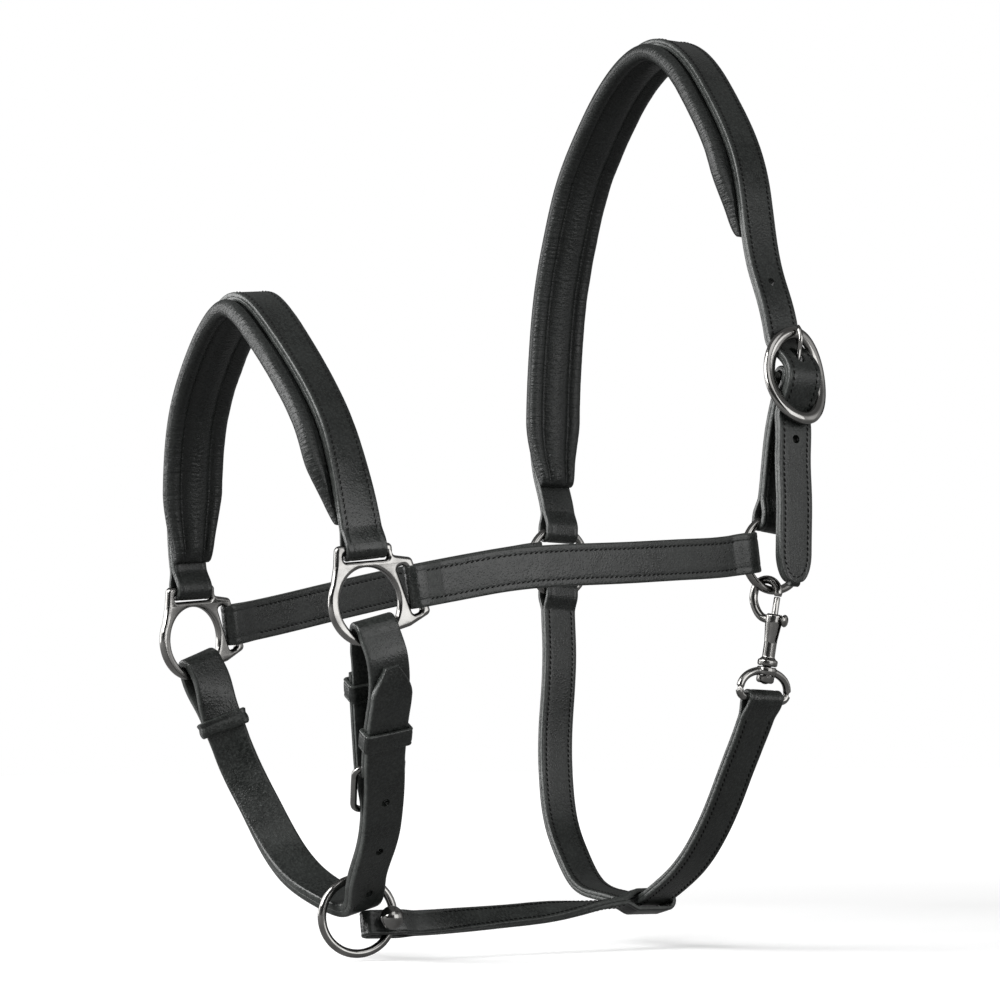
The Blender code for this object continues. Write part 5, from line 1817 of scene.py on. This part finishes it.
@dataclass
class Snap(Assembly):
    """Bolt snap on its swivel."""

    ring: CheekRing
    wire: float = 2.0
    hook: float = 6.0
    bolt: float = 1.5
    travel: float = 9.0
    top: float = 11.0
    length: float = 21.5
    radius: float = 4.0
    collar: float = 4.75
    collar_height: float = 3.2
    pin: float = 1.8
    boss_height: float = 3.8
    nut_height: float = 3.6
    dee_half: float = 13.9
    dee_wire: float = 1.9
    dee_depth: float = 15.2
    cross: float = 4.0

    def __post_init__(self) -> None:
        """Work out the swivel's axis and the heights along it."""
        self.axis = unit((-0.106, 0.110, -0.989))
        self.out = square((0.5, -0.866, 0.0), self.axis)
        self.deep = np.cross(self.out, self.axis)
        drop = math.sqrt(RING_RADIUS ** 2 - self.cross ** 2)
        self.inward = self.hook - 0.2
        self.origin = self.ring.centre() + (-self.cross, 0.0, -drop) + self.inward * self.out
        self.lift = self.hook - self.wire - RING_WIRE - 0.6
        self.knob = self.top + 2.6
        self.barrel_end = self.top + self.length
        self.collar_end = self.barrel_end + self.collar_height
        self.boss_top = self.collar_end + GAP
        self.boss_end = self.boss_top + self.boss_height
        self.nut_top = self.boss_end + GAP
        self.dee_bar = self.boss_end + self.dee_depth - self.boss_height
        self.wide = square((0.97, 0.0, -0.2), self.axis)

    def at(self, h: float, a: float, b: float = 0.0) -> Array:
        """A point: h outward from the axis, a down along it, b through it."""
        return self.origin + h * self.out + a * self.axis + b * self.deep

    def build(self) -> None:
        """Make the body, the thumb bolt, the dee and the nut."""
        self.body()
        self.thumb_bolt()
        self.dee()
        low = self.nut_top
        high = low + self.nut_height
        profile = [(self.pin + GAP, low), (3.9, low), (4.2, low + .3), (4.2, high - 1.1),
                   (3.9, high - .5), (3.2, high), (self.pin + GAP, high)]
        nut = turned("swivel_nut", profile, self.origin, self.axis, self.out, 40, True)
        self.bench.metal(nut, "snap_swivel_nut", "snap")

    def body(self) -> None:
        """Hook and barrel cast in one, with the bolt's way."""
        end, rim, taper = self.barrel_end, self.collar, 0.75 * self.radius
        profile = [(0, self.collar_end + self.boss_height + self.nut_height + 1.2),
                   (1.1, self.collar_end + self.boss_height + self.nut_height + 1.0),
                   (self.pin, self.nut_top + self.nut_height), (self.pin, self.collar_end),
                   (rim - .8, self.collar_end), (rim - .2, self.collar_end - .3),
                   (rim, self.collar_end - .9), (rim, end + .9), (rim - .2, end + .3),
                   (rim - .8, end), (taper, end - 1.0), (taper, end - 8.0),
                   (self.radius, self.top + 4.0), (self.radius, self.top + .8),
                   (self.radius - .8, self.top), (0, self.top)]
        body = turned("snap_hook_barrel", profile, self.origin, self.axis, self.out, 48)
        mid = -self.inward
        rows = [(-2.0, self.top + 3.0), (-6.2, self.top + 2.2), (mid - self.hook + 1.6, 9.0),
                (mid - self.hook, 4.6)]
        rows += [(mid + self.hook * math.cos(t), self.lift - self.hook * math.sin(t))
                 for t in np.radians(np.linspace(180, 0, 14))]
        rows.append((mid + self.hook, self.lift + 1.2))
        rows = through(rows, 0.7)
        radii = [self.wire] * (len(rows) - 3) + [self.wire * k for k in (.97, .92, .82)]
        join_up(body, [wire("hook", [self.at(h, a) for h, a in rows], radii)], "UNION")
        bore = self.bolt + 0.35
        depth = self.top + 19.0
        drill = [(0, self.top - 1.5), (bore, self.top - 1.5), (bore, depth), (0, depth + 1.0)]
        low, high = self.top - 2.0, self.knob + self.travel + 1.7
        sides = rounded([(low, -1.5, 0), (high, -1.5, 1.4), (high, 1.5, 1.4), (low, 1.5, 0)])
        way = blank("way", sides, 2 * self.radius, 4)
        way.data.transform(matrix(self.at(0.2, 0), self.out, self.axis, self.deep))
        tool = turned("drill", drill, self.origin, self.axis, self.out, 32)
        join_up(tool, [way], "UNION")
        join_up(body, [tool], "DIFFERENCE")
        cast(body, 0.22, 3)
        self.bench.metal(body, "snap_body", "snap", CAST)

    def thumb_bolt(self) -> None:
        """Sliding bolt with its knob."""
        top, foot = self.lift + 1.2 + GAP, self.top + 9.5
        profile = [(0, top), (self.bolt - .3, top), (self.bolt, top + .4), (self.bolt, foot),
                   (0, foot)]
        bolt = turned("snap_thumb_bolt", profile, self.origin, self.axis, self.out, 32)
        out = self.radius + 0.4
        profile = [(0, 0), (1.1, 0), (1.1, out), (2.2, out), (2.7, out + .25), (3.0, out + .9),
                   (2.8, out + 1.5), (2.2, out + 2.0), (1.1, out + 2.25), (0, out + 2.3)]
        knob = turned("knob", profile, self.at(0, self.knob), self.out, self.axis, 32)
        join_up(bolt, [knob], "UNION")
        self.bench.metal(bolt, "snap_bolt", "bolt")

    def dee(self) -> None:
        """Dee for the throat strap with its bored boss."""
        half, bar, mid = self.dee_half, self.dee_bar, (self.boss_top + self.boss_end) / 2
        bow = bar - mid - 3.0
        turns = np.radians(np.linspace(0, 180, 31))
        corners = [(half * math.cos(t), mid + bow * (1 - math.sin(t) ** 0.8), 0.0) for t in turns]
        corners += [(-half, bar, 3.4), (half, bar, 3.4)]
        path = [self.origin + p[0] * self.wide + p[1] * self.axis for p in rounded(corners, 9.0)]
        dee = wire("swivel_dee", path, self.dee_wire, True)
        boss = [(0, self.boss_top), (4.2, self.boss_top), (4.6, self.boss_top + .4), (4.8, mid),
                (4.6, self.boss_end - .4), (4.2, self.boss_end), (0, self.boss_end)]
        join_up(dee, [turned("boss", boss, self.origin, self.axis, self.wide, 40)], "UNION")
        bore = [(0, self.boss_top - 3), (self.pin + GAP, self.boss_top - 3),
                (self.pin + GAP, self.boss_end + 3), (0, self.boss_end + 3)]
        join_up(dee, [turned("bore", bore, self.origin, self.axis, self.wide, 32)], "DIFFERENCE")
        cast(dee, 0.24, 4)
        self.bench.metal(dee, "snap_swivel_eye", ROOT, CAST)


@dataclass
class Throat(Assembly):
    """Doubled strap from the snap under the throat to the far cheek ring."""

    snap: Snap
    far: CheekRing
    depth: float = 168.0
    lead: float = 8.6

    def foot(self) -> Array:
        """Lowest point, where the connector hangs."""
        return np.array((-self.far.lead - self.lead, 0.0, -self.far.drop - self.depth))

    def route(self) -> tuple[Route, int]:
        """From the dee under the throat and up again, with the foot's index.

        Returns:
            The route and that index.
        """
        near = self.snap.origin + self.snap.dee_bar * self.snap.axis
        far = self.far.centre() - EYE_CENTRE * UP
        foot = self.foot()
        fall = ((0, .050, .090), (0, .144, .234), (0, .240, .377), (0, .335, .520),
                (0, .453, .666), (0, .617, .813), (0, .847, .941))
        rise = ((0, .282, .007), (0, .565, .038), (0, .742, .131), (0, .858, .226),
                (0, .936, .372), (0, .964, .519), (0, .957, .666), (0, .965, .815),
                (0, .995, .945))
        points = [near, *hang(near, foot, fall), foot, *hang(foot, far, rise), far]
        widths = [(0, self.snap.wide), (2, BACK), (len(points) - 1, BACK)]
        return Route(points, widths, -1.0), 8

    def build(self) -> None:
        """Make the strap and its stitching."""
        route, _ = self.route()
        end = route.at[-1]
        eye = Eye(0.0, self.snap.dee_wire + 0.4 + PLY / 2)
        lay = Lay(route, doubled(eye, Eye(end, RING_EYE, RING_SLACK)))
        self.bench.strap(Strap("throat_leather", lay), "throat_strap")
        self.bench.sewn("throat_stitching", both_rows(lay, 11.0, end - 12.0))


@dataclass
class Chin(Assembly):
    """Chin strap with its chape, buckle, keepers and hanging ring."""

    near: NoseFitting
    far: NoseFitting
    ply: float = 3.2
    chape_ply: float = 2.6
    depth: float = 129.6
    back: float = 43.6
    heel: float = 66.0
    belly: float = 9.4
    bar: float = 1.5
    length: float = 24.0
    hole: float = 17.0
    hole_pitch: float = 28.0
    hole_width: float = 4.0
    slot: Triple = (7.7, 10.2, 3.8)
    tip: float = 12.5
    point: float = 12.0
    inner_end: float = 24.0
    keeper: float = 1.5
    ridge: float = 0.5
    play: float = 0.45
    keeper_height: float = 9.0
    far_height: float = 7.5
    keeper_at: Triple = (43.2, 27.5, 33.5)
    ring_below: float = 5.0

    def __post_init__(self) -> None:
        """Work out the spacings at the heel bar."""
        self.pitch = (self.ply + SLIT) / 2
        self.fold_near = self.near.half_thick + 2.0
        self.heel_eye = self.bar + BAR_GAP + self.chape_ply / 2
        self.over = self.heel_eye + self.chape_ply / 2 + GAP + self.ply / 2
        self.front_bar = self.pitch + self.ply / 2 + GAP + 0.1 + self.bar
        self.line = self.route()

    def foot(self) -> Array:
        """Lowest point of the strap's middle."""
        return np.array((-self.near.lead - self.near.face + self.back, 0.0,
                         -self.near.drop - self.depth))

    def ring_centre(self) -> Array:
        """Middle of the hanging ring."""
        return self.foot() - self.ring_below * UP

    def route(self) -> Route:
        """From inside the near fitting's ring under the chin to the far one.

        Returns:
            The route.
        """
        near, near_width = self.near.chin_loop()
        far, far_width = self.far.chin_loop()
        foot = self.foot()
        fall = ((-.3, .031, .113), (-.8, .123, .234), (-1.3, .233, .371), (-1.0, .326, .484),
                (-.9, .422, .629), (-1.8, .593, .782), (-2.5, .777, .903))
        rise = ((-4.3, .209, .045), (-5.4, .459, .143), (-4.0, .609, .251), (-2.3, .746, .413),
                (-1.3, .858, .574), (-.7, .908, .709), (-.4, .946, .834), (.2, .986, .935))
        points = [near, *hang(near, foot, fall), foot, *hang(foot, far, rise), far]
        widths = [(0, near_width), (4, (0.95, -0.20, 0.24)), (8, (0.967, 0.08, 0.24)),
                  (13, (0.76, -0.50, 0.415)), (17, far_width)]
        return Route(points, widths, -1.0)

    def leaf(self, s: float) -> float:
        """Half spacing of the chape's legs between the fitting and the heel bar.

        Args:
            s: Along the strap.

        Returns:
            Half the spacing.
        """
        top = self.fold_near + self.chape_ply / 2
        shares = (0.0, .12, .27, .45, .66, .88, 1.0)
        rise = (0.0, .80, 1.0, .80, .40, .08, 0.0)
        base = np.interp(s / self.heel, (0.0, 1.0), (top, self.heel_eye))
        bulge = self.belly - (top + self.heel_eye) / 2
        return float(base + bulge * np.interp(s / self.heel, shares, rise))

    def ply_place(self, s: float, outer: bool) -> float:
        """Place of the outer or inner ply's middle past the tip.

        Args:
            s: Along the strap.
            outer: Which ply.

        Returns:
            The place.
        """
        sign = 1.0 if outer else -1.0
        if s <= self.heel:
            return sign * (self.leaf(s) + self.over - self.heel_eye)
        reach = 28.0 if outer else self.length - 2.0
        return sign * (self.over + (self.pitch - self.over) * float(ease((s - self.heel) / reach)))

    def build(self) -> None:
        """Make the chape, the strap, the buckle, the keepers and the ring."""
        route, heel = self.line, self.heel
        legs = [heel * t for t in (0.0, .07, .13, .23, .33, .43, .53, .63, .73, .82, .90, 1.0)]
        out = through([(s, self.leaf(s)) for s in legs])
        lay = Lay(route, folded(out, 34.0, arc(0.0, self.leaf(0.0), -90, -270),
                                arc(heel, self.heel_eye, 90, -90)))
        fold = (lay.find(heel - 0.3) + lay.find(heel - 0.3, False)) / 2
        chape = Strap("chin_chape_leather", lay, ply=self.chape_ply, row=None,
                      cutters=[(fold, 2 * 6.0 + 9.0, 6.0)])
        self.bench.strap(chape, "chin_chape")
        self.strap(legs)
        self.buckle()
        self.keepers()
        ring = round_ring("chin_hanging_ring", self.ring_centre(), unit(CHIN_RING_AXIS))
        self.bench.metal(ring, "chin_ring", "chin_ring", ROUND)

    def strap(self, legs: Vec) -> None:
        """Make the thick strap from its tip round the far fitting and back.

        Args:
            legs: Stations shared with the chape.
        """
        route, end, heel = self.line, self.line.at[-1], self.heel
        lead = [heel + d for d in (4.0, 9.0, 14.0, 19.0, 24.0, 28.0)]
        shared = list(np.linspace(heel + 34.0, end - self.keeper_at[2] + 4.0, 24))
        offsets = (self.keeper_at[2] - self.far_height, 22.0, 17.0, 12.0, 7.0, 3.0, 0.0)
        fold = self.far.half_thick + FOLD_GAP + self.ply / 2
        tail = list(zip((end - d for d in offsets), (self.pitch, 2.5, 4.0, 5.2, 5.5, 5.0, fold)))
        starts = ([self.tip + d for d in (0.0, 3.0, 7.0, 12.0)], [self.inner_end])
        plies = []
        for sign, first, gap in zip((1, -1), starts, (14.0, 2.0)):
            near = first + [s for s in legs if s > first[0] + gap] + lead
            places = [(s, self.ply_place(s, sign > 0)) for s in near]
            places += [(s, sign * n) for s, n in [(s, self.pitch) for s in shared] + tail]
            plies.append(through(places))
        lay = Lay(route, plies[0] + arc(end, fold, 90, -90) + plies[1][::-1])

        def narrow(s: Array) -> Array:
            """Share of the full width left towards the outer tip.

            Args:
                s: Along the strap.

            Returns:
                The shares.
            """
            t = np.clip((s - self.tip) / self.point, 0.0, 1.0)
            share = 0.34 + 0.66 * np.sin(math.pi / 2 * t)
            return np.where(s < self.inner_end - 0.6, share, 1.0)

        holes = [(0, True)] + [(k, outer) for k in (1, 2) for outer in (True, False)]
        cutters = [(lay.find(heel + self.hole + self.hole_pitch * k, outer), self.hole_width,
                    self.hole_width) for k, outer in holes]
        slot_at, *slot = self.slot
        cutters.append((lay.find(heel + slot_at, False), *slot))
        strap = Strap("chin_leather", lay, ply=self.ply, row=None, narrow=narrow, cutters=cutters)
        self.bench.strap(strap, "chin_strap")

    def buckle(self) -> None:
        """Make the frame and the tongue on its heel bar."""
        route, heel, length = self.line, self.heel, self.length
        half = HALF + 0.6 + self.bar
        loop = rounded([(0.0, -half, 3.0), (length, -half, 5.0), (length, half, 5.0),
                        (0.0, half, 3.0)])
        path = []
        for a, b in zip(loop, loop[1:] + loop[:1]):
            step = 1.0 if np.linalg.norm(b - a) < 4 else 0.2
            for share in np.arange(0.0, 0.99, step):
                s, w = a + (b - a) * share
                t = s / length
                path.append(route.place(heel + s, -self.front_bar * t * (1.5 - .5 * t), w)[0])
        self.bench.metal(wire("chin_buckle_rim", path, self.bar, True), "chin_buckle_frame")
        middle, across, _, along = route.frame(heel)
        prong = 1.2
        rest = -(self.front_bar + self.bar + GAP + prong)
        rows = ((1.9, -0.6), (4.6, -2.6), (8.0, -5.4), (13.0, rest + .6), (length, rest),
                (length + 3.0, rest + .1))
        line = [route.place(heel + s, n, 0.0)[0] for s, n in through(rows, 1.0)]
        ob = tongue("chin_tongue_prong", middle, across, along, line, self.bar + 0.25, 1.9,
                    prong, 1.1)
        self.bench.metal(ob, "chin_buckle_tongue", "chin_tongue")

    def keepers(self) -> None:
        """Make the two sliding keepers and the sewn one."""
        stack = self.over - self.heel_eye
        thick = (stack + self.ply / 2 + self.chape_ply / 2) / 2 + self.play
        lift = (stack + self.ply / 2 - self.chape_ply / 2) / 2
        outer, inner, far = self.keeper_at
        rows = (("outer", outer, self.keeper_height, lambda s: self.leaf(s) + lift, thick,
                 "outer_keeper"),
                ("inner", inner, self.keeper_height - 1, lambda s: -self.leaf(s) - lift, thick,
                 "inner_keeper"),
                ("far", self.line.at[-1] - far, self.far_height, lambda s: 0.0,
                 self.pitch + self.ply / 2 + self.play, ROOT))
        for row in rows:
            self.keeper_band(*row)

    def keeper_band(self, word: str, at: float, height: float,
                    middle: Callable[[float], float], half_thick: float, body: str) -> None:
        """Wrap a band of leather round the strap.

        Args:
            word: Which keeper.
            at: Station of its edge.
            height: Its width along the strap.
            middle: Place of its middle at a station.
            half_thick: Half its opening through the strap.
            body: The body that it rides on.
        """
        t, half_wide = self.keeper, HALF + self.play
        loop = np.array(rounded([(x * (half_thick + t / 2), y * (half_wide + t / 2), 1.3)
                                 for x, y in ((1, -1), (1, 1), (-1, 1), (-1, -1))]))
        loop = np.vstack([loop, loop[:1]])
        at_loop = np.concatenate(([0.0], np.cumsum(np.linalg.norm(np.diff(loop, axis=0), axis=1))))
        if word == "far":
            fine = np.linspace(-height / 2 + 0.7, height / 2 - 0.7, 19)[::-1]
            outline = [(w, t / 2 + self.ridge * abs(math.sin(1.5 * math.pi * (w / height + 0.5))))
                       for w in fine]
            outline += [(-height / 2, t / 4), (-height / 2, -t / 4), (-height / 2 + 0.4, -t / 2),
                        (height / 2 - 0.4, -t / 2), (height / 2, -t / 4), (height / 2, t / 4)]
        else:
            outline = ply_outline(height / 2, t, height / 2 - 1.4, 0.18)
        ob = blank(f"chin_{word}_keeper_leather", outline, at_loop[-1] - 0.2, 90)
        x, y, d = coords(ob).T
        n = np.interp(x, at_loop, loop[:, 0])
        w = np.interp(x, at_loop, loop[:, 1])
        line = np.gradient(loop, at_loop, axis=0)
        a, b = (np.interp(x, at_loop, line[:, k]) for k in (1, 0))
        size = np.maximum(np.hypot(a, b), 1e-6)
        s = at + height / 2 + y
        base = np.array([middle(v) for v in s])
        move(ob, self.line.place(s, base + n + d * a / size, w - d * b / size))
        seal(ob)
        # Edges painted paler: wear and a painted highlight
        store(ob, "wear_and_sheen", edge_wear_and_sheen(height / 2, y))
        finish_piece(ob, self.bench.leather, body, [f"chin_keeper_{word}"],
                     LEATHER)


@dataclass
class Connector(Assembly):
    """Narrow strap from the chin ring to the throat strap, with its ball stud."""

    chin: Chin
    throat: Throat
    width: float = 11.6
    ball: float = 5.5
    post: float = 1.5
    stud_set: float = 4.0
    inward: float = 11.0

    def build(self) -> None:
        """Make the strap, its stitching and the stud."""
        side = np.cross(UP, unit(CHIN_RING_AXIS))
        start = self.chin.ring_centre() + RING_RADIUS * side - 3.9 * UP
        line, index = self.throat.route()
        foot = self.throat.foot()
        across = line.frame(line.at[index])[3]
        head = start - self.inward * side
        points = [head, start + 3.0 * side, start + (foot - start) * .25 - 1.0 * UP,
                  start + (foot - start) * .5 - 1.0 * UP, start + (foot - start) * .78 + .2 * UP,
                  foot - 14.0 * BACK, foot]
        lean = unit(UP * .95 + across * .31)
        middle = unit(UP * .75 + across * .66)
        route = Route(points, [(0, lean), (1, lean), (3, middle), (5, across)], 1.0)
        reach, half_height = HALF + 1.7, THICK / 2 + 1.4
        eye = Eye(0.0, RING_WIRE + FOLD_GAP + PLY / 2, self.inward + 2.5, 9.0)
        stop = Eye(route.at[6] + reach - half_height, half_height + PLY / 2,
                   2 * reach - 1.6 * half_height, 8.0)
        stud = self.inward - self.stud_set
        lay = Lay(route, doubled(eye, stop, lap=40.0))
        hole = 2 * (self.post + 0.3)
        strap = Strap("connector_leather", lay, half=self.width / 2, row=self.width / 2 - 1.8)
        strap.cutters = [(lay.find(stud, outer), hole, hole) for outer in (True, False)]
        self.bench.strap(strap, "connector_strap")
        self.bench.sewn("connector_stitching",
                   both_rows(lay, 25.0, stop.s - stop.slack - 9.0, row=self.width / 2 - 1.8))
        self.stud(route, stud, eye.radius + PLY / 2 + GAP + 0.3)

    def stud(self, route: Route, at: float, face: float) -> None:
        """Turn the ball stud.

        Args:
            route: The connector's route.
            at: The stud's station.
            face: The leather's outer face from its middle.
        """
        point, _, out, along = route.frame(at)
        axis = -out if out[1] > 0 else out
        neck = face + 1.0
        middle = neck + self.ball - .8
        profile = [(0, -face - 1.4), (2.0, -face - 1.3), (2.8, -face - 1.1), (3.2, -face - .5),
                   (3.2, -face), (self.post, -face), (self.post, face), (3.0, face),
                   (3.2, face + .5), (3.0, neck)]
        for turn in range(-44, 90, 9):
            t = math.radians(turn)
            profile.append((self.ball * math.cos(t), middle + self.ball * math.sin(t)))
        profile.append((0, middle + self.ball))
        ob = turned("connector_ball_stud", profile, point, axis, along, 40)
        self.bench.metal(ob, "chin_stud")


# Studio


@dataclass(frozen=True)
class Studio:
    """Pale floor, soft light and the photograph's camera, in metres, degrees and watts."""

    floor: float = -0.4375
    floor_size: float = 12.0
    floor_seen: Triple = (0.80, 0.80, 0.80)
    floor_lit: Triple = (0.18, 0.18, 0.18)
    floor_rough: float = 0.9
    floor_shine: float = 0.3
    glow_from: float = 0.45
    glow_full: float = 1.6
    glow_least: float = 0.30
    place: Triple = (-0.9888, -1.3165, -0.3326)
    azimuth: float = -34.0
    elevation: float = -4.0
    lens: float = 119.88
    ambient: float = 0.14
    gloom: float = 0.07
    # Direction, cosines of the full and the outer edge, strength
    panels: tuple = (((0, 0, 1), .65, .35, .15), ((-.83, .56, 0), .92, .78, .8),
                     ((.56, -.83, .07), .95, .80, .3), ((.83, -.4, .1), .95, .85, .5))
    aim: Triple = (-0.11, 0.0, -0.22)
    # Name, place, size, power
    lamps: tuple = (("top", (-0.42, -1.22, 0.85), 1.0, 6.0),
                    ("right", (0.19, -1.56, -0.11), 1.2, 15.0),
                    ("side", (1.09, -1.06, -0.06), 1.0, 1.2),
                    ("left", (-1.40, 0.10, 0.50), 1.0, 38.0),
                    ("rim", (-1.05, 1.25, 0.09), 1.0, 14.0))

    def camera(self) -> None:
        """Set the camera at the photograph's angle."""
        az, el = math.radians(self.azimuth), math.radians(self.elevation)
        ahead = Vector((-math.sin(az) * math.cos(el), math.cos(az) * math.cos(el), -math.sin(el)))
        right = Vector((math.cos(az), math.sin(az), 0.0))
        up = right.cross(ahead)
        data = bpy.data.cameras.new("camera")
        data.lens = self.lens
        data.sensor_width = 36.0
        data.clip_end = 20.0
        camera = bpy.data.objects.new("camera", data)
        bpy.context.collection.objects.link(camera)
        rows = [(right[i], up[i], -ahead[i], self.place[i]) for i in range(3)]
        camera.matrix_world = Matrix((*rows, (0, 0, 0, 1)))
        bpy.context.scene.camera = camera

    def ground(self) -> None:
        """Lay the floor: pale and glowing to the camera, darker as a source of light."""
        clear()
        bpy.ops.mesh.primitive_plane_add(size=self.floor_size, location=(0.0, 0.0, self.floor))
        ob = bpy.context.object
        ob.name = "floor"
        n = Nodes(bpy.data.materials.new("pale_floor"))
        n.give("Roughness", self.floor_rough)
        path = n.add("LightPath").outputs
        n.give("Base Color", n.blend(path["Is Camera Ray"], self.floor_lit, self.floor_seen))
        seen = n.plus(path["Is Camera Ray"], path["Is Glossy Ray"], self.floor_shine)
        light = n.add("Emission")
        light.inputs["Color"].default_value = WHITE
        far = n.add("VectorMath", operation="LENGTH")
        n.join(n.places(), far.inputs[0])
        glow = n.ramp(far.outputs["Value"], self.glow_from, self.glow_full, self.glow_least, 1.0)
        n.join(n.math("MULTIPLY", seen, glow), light.inputs["Strength"])
        both = n.add("AddShader")
        n.join(n.shader.outputs[0], both.inputs[0])
        n.join(light.outputs[0], both.inputs[1])
        n.join(both.outputs[0], n.tree.nodes["Material Output"].inputs["Surface"])
        ob.data.materials.append(n.owner)

    def world(self) -> None:
        """White to the camera, a soft fill as light, a dim room with panels in reflections."""
        world = bpy.data.worlds.new("studio")
        bpy.context.scene.world = world
        n = Nodes(world)
        path = n.add("LightPath").outputs
        around = n.add("TexCoord").outputs["Generated"]
        shine = n.math("MULTIPLY", path["Is Glossy Ray"], self.gloom)
        for place, full, outer, strength in self.panels:
            facing = n.add("VectorMath", operation="DOT_PRODUCT")
            n.join(around, facing.inputs[0])
            facing.inputs[1].default_value = unit(place)
            panel = n.ramp(facing.outputs["Value"], outer, full, 0.0, strength)
            shine = n.math("ADD", shine, n.math("MULTIPLY", path["Is Glossy Ray"], panel))
        soft = n.math("MULTIPLY", path["Is Diffuse Ray"], self.ambient)
        white = n.math("MAXIMUM", path["Is Camera Ray"], path["Is Transmission Ray"])
        n.give("Color", WHITE)
        n.give("Strength", n.math("ADD", n.math("ADD", shine, soft), white))

    def lamp(self, name: str, at: Triple, size: float, watts: float) -> None:
        """Hang a soft lamp that faces the halter.

        Args:
            name: Its name.
            at: Its place.
            size: Its side.
            watts: Its power.
        """
        data = bpy.data.lights.new(name, "AREA")
        data.shape = "SQUARE"
        data.size = size
        data.energy = watts
        ob = bpy.data.objects.new(name, data)
        bpy.context.collection.objects.link(ob)
        ob.location = at
        aim = Vector(self.aim) - Vector(at)
        ob.rotation_mode = "QUATERNION"
        ob.rotation_quaternion = aim.to_track_quat("-Z", "Y")

    def build(self) -> None:
        """Set up the whole studio."""
        self.camera()
        self.ground()
        self.world()
        for row in self.lamps:
            self.lamp(*row)


def main() -> None:
    """Build the studio and then the halter's parts in order."""
    scene = bpy.context.scene
    scene.view_settings.view_transform = "Standard"
    Studio().build()
    padding = LeatherFinish("soft_padding_leather", smooth=0.34, rough=0.50, pores=700.0,
                            relief=0.45, creases=0.20, specular=0.30, gathers=0.4,
                            base=(0.006, 0.0068, 0.0064), light=(0.018, 0.020, 0.019))
    bench = Bench(LeatherFinish("black_strap_leather").make(), padding.make(),
                  MetalFinish().make(), ThreadFinish().make(), Needle())
    fittings = {side: NoseFitting(bench, side) for side in Side}
    rings = {side: CheekRing(bench, side) for side in Side}
    buckle = CrownBuckle(bench, rings[Side.NEAR])
    snap = Snap(bench, rings[Side.NEAR])
    throat = Throat(bench, snap, rings[Side.FAR])
    chin = Chin(bench, fittings[Side.NEAR], fittings[Side.FAR])
    cheeks = [Cheek(bench, fittings[side], rings[side]) for side in Side]
    for assembly in (*fittings.values(), *rings.values(),
                     Noseband(bench, fittings[Side.NEAR], fittings[Side.FAR]), *cheeks, buckle,
                     Crown(bench, rings[Side.NEAR], rings[Side.FAR], buckle), snap, throat, chin,
                     Connector(bench, chin, throat)):
        assembly.build()


if __name__ == "__main__":
    logging.basicConfig(level=logging.INFO, format="%(message)s")
    main()
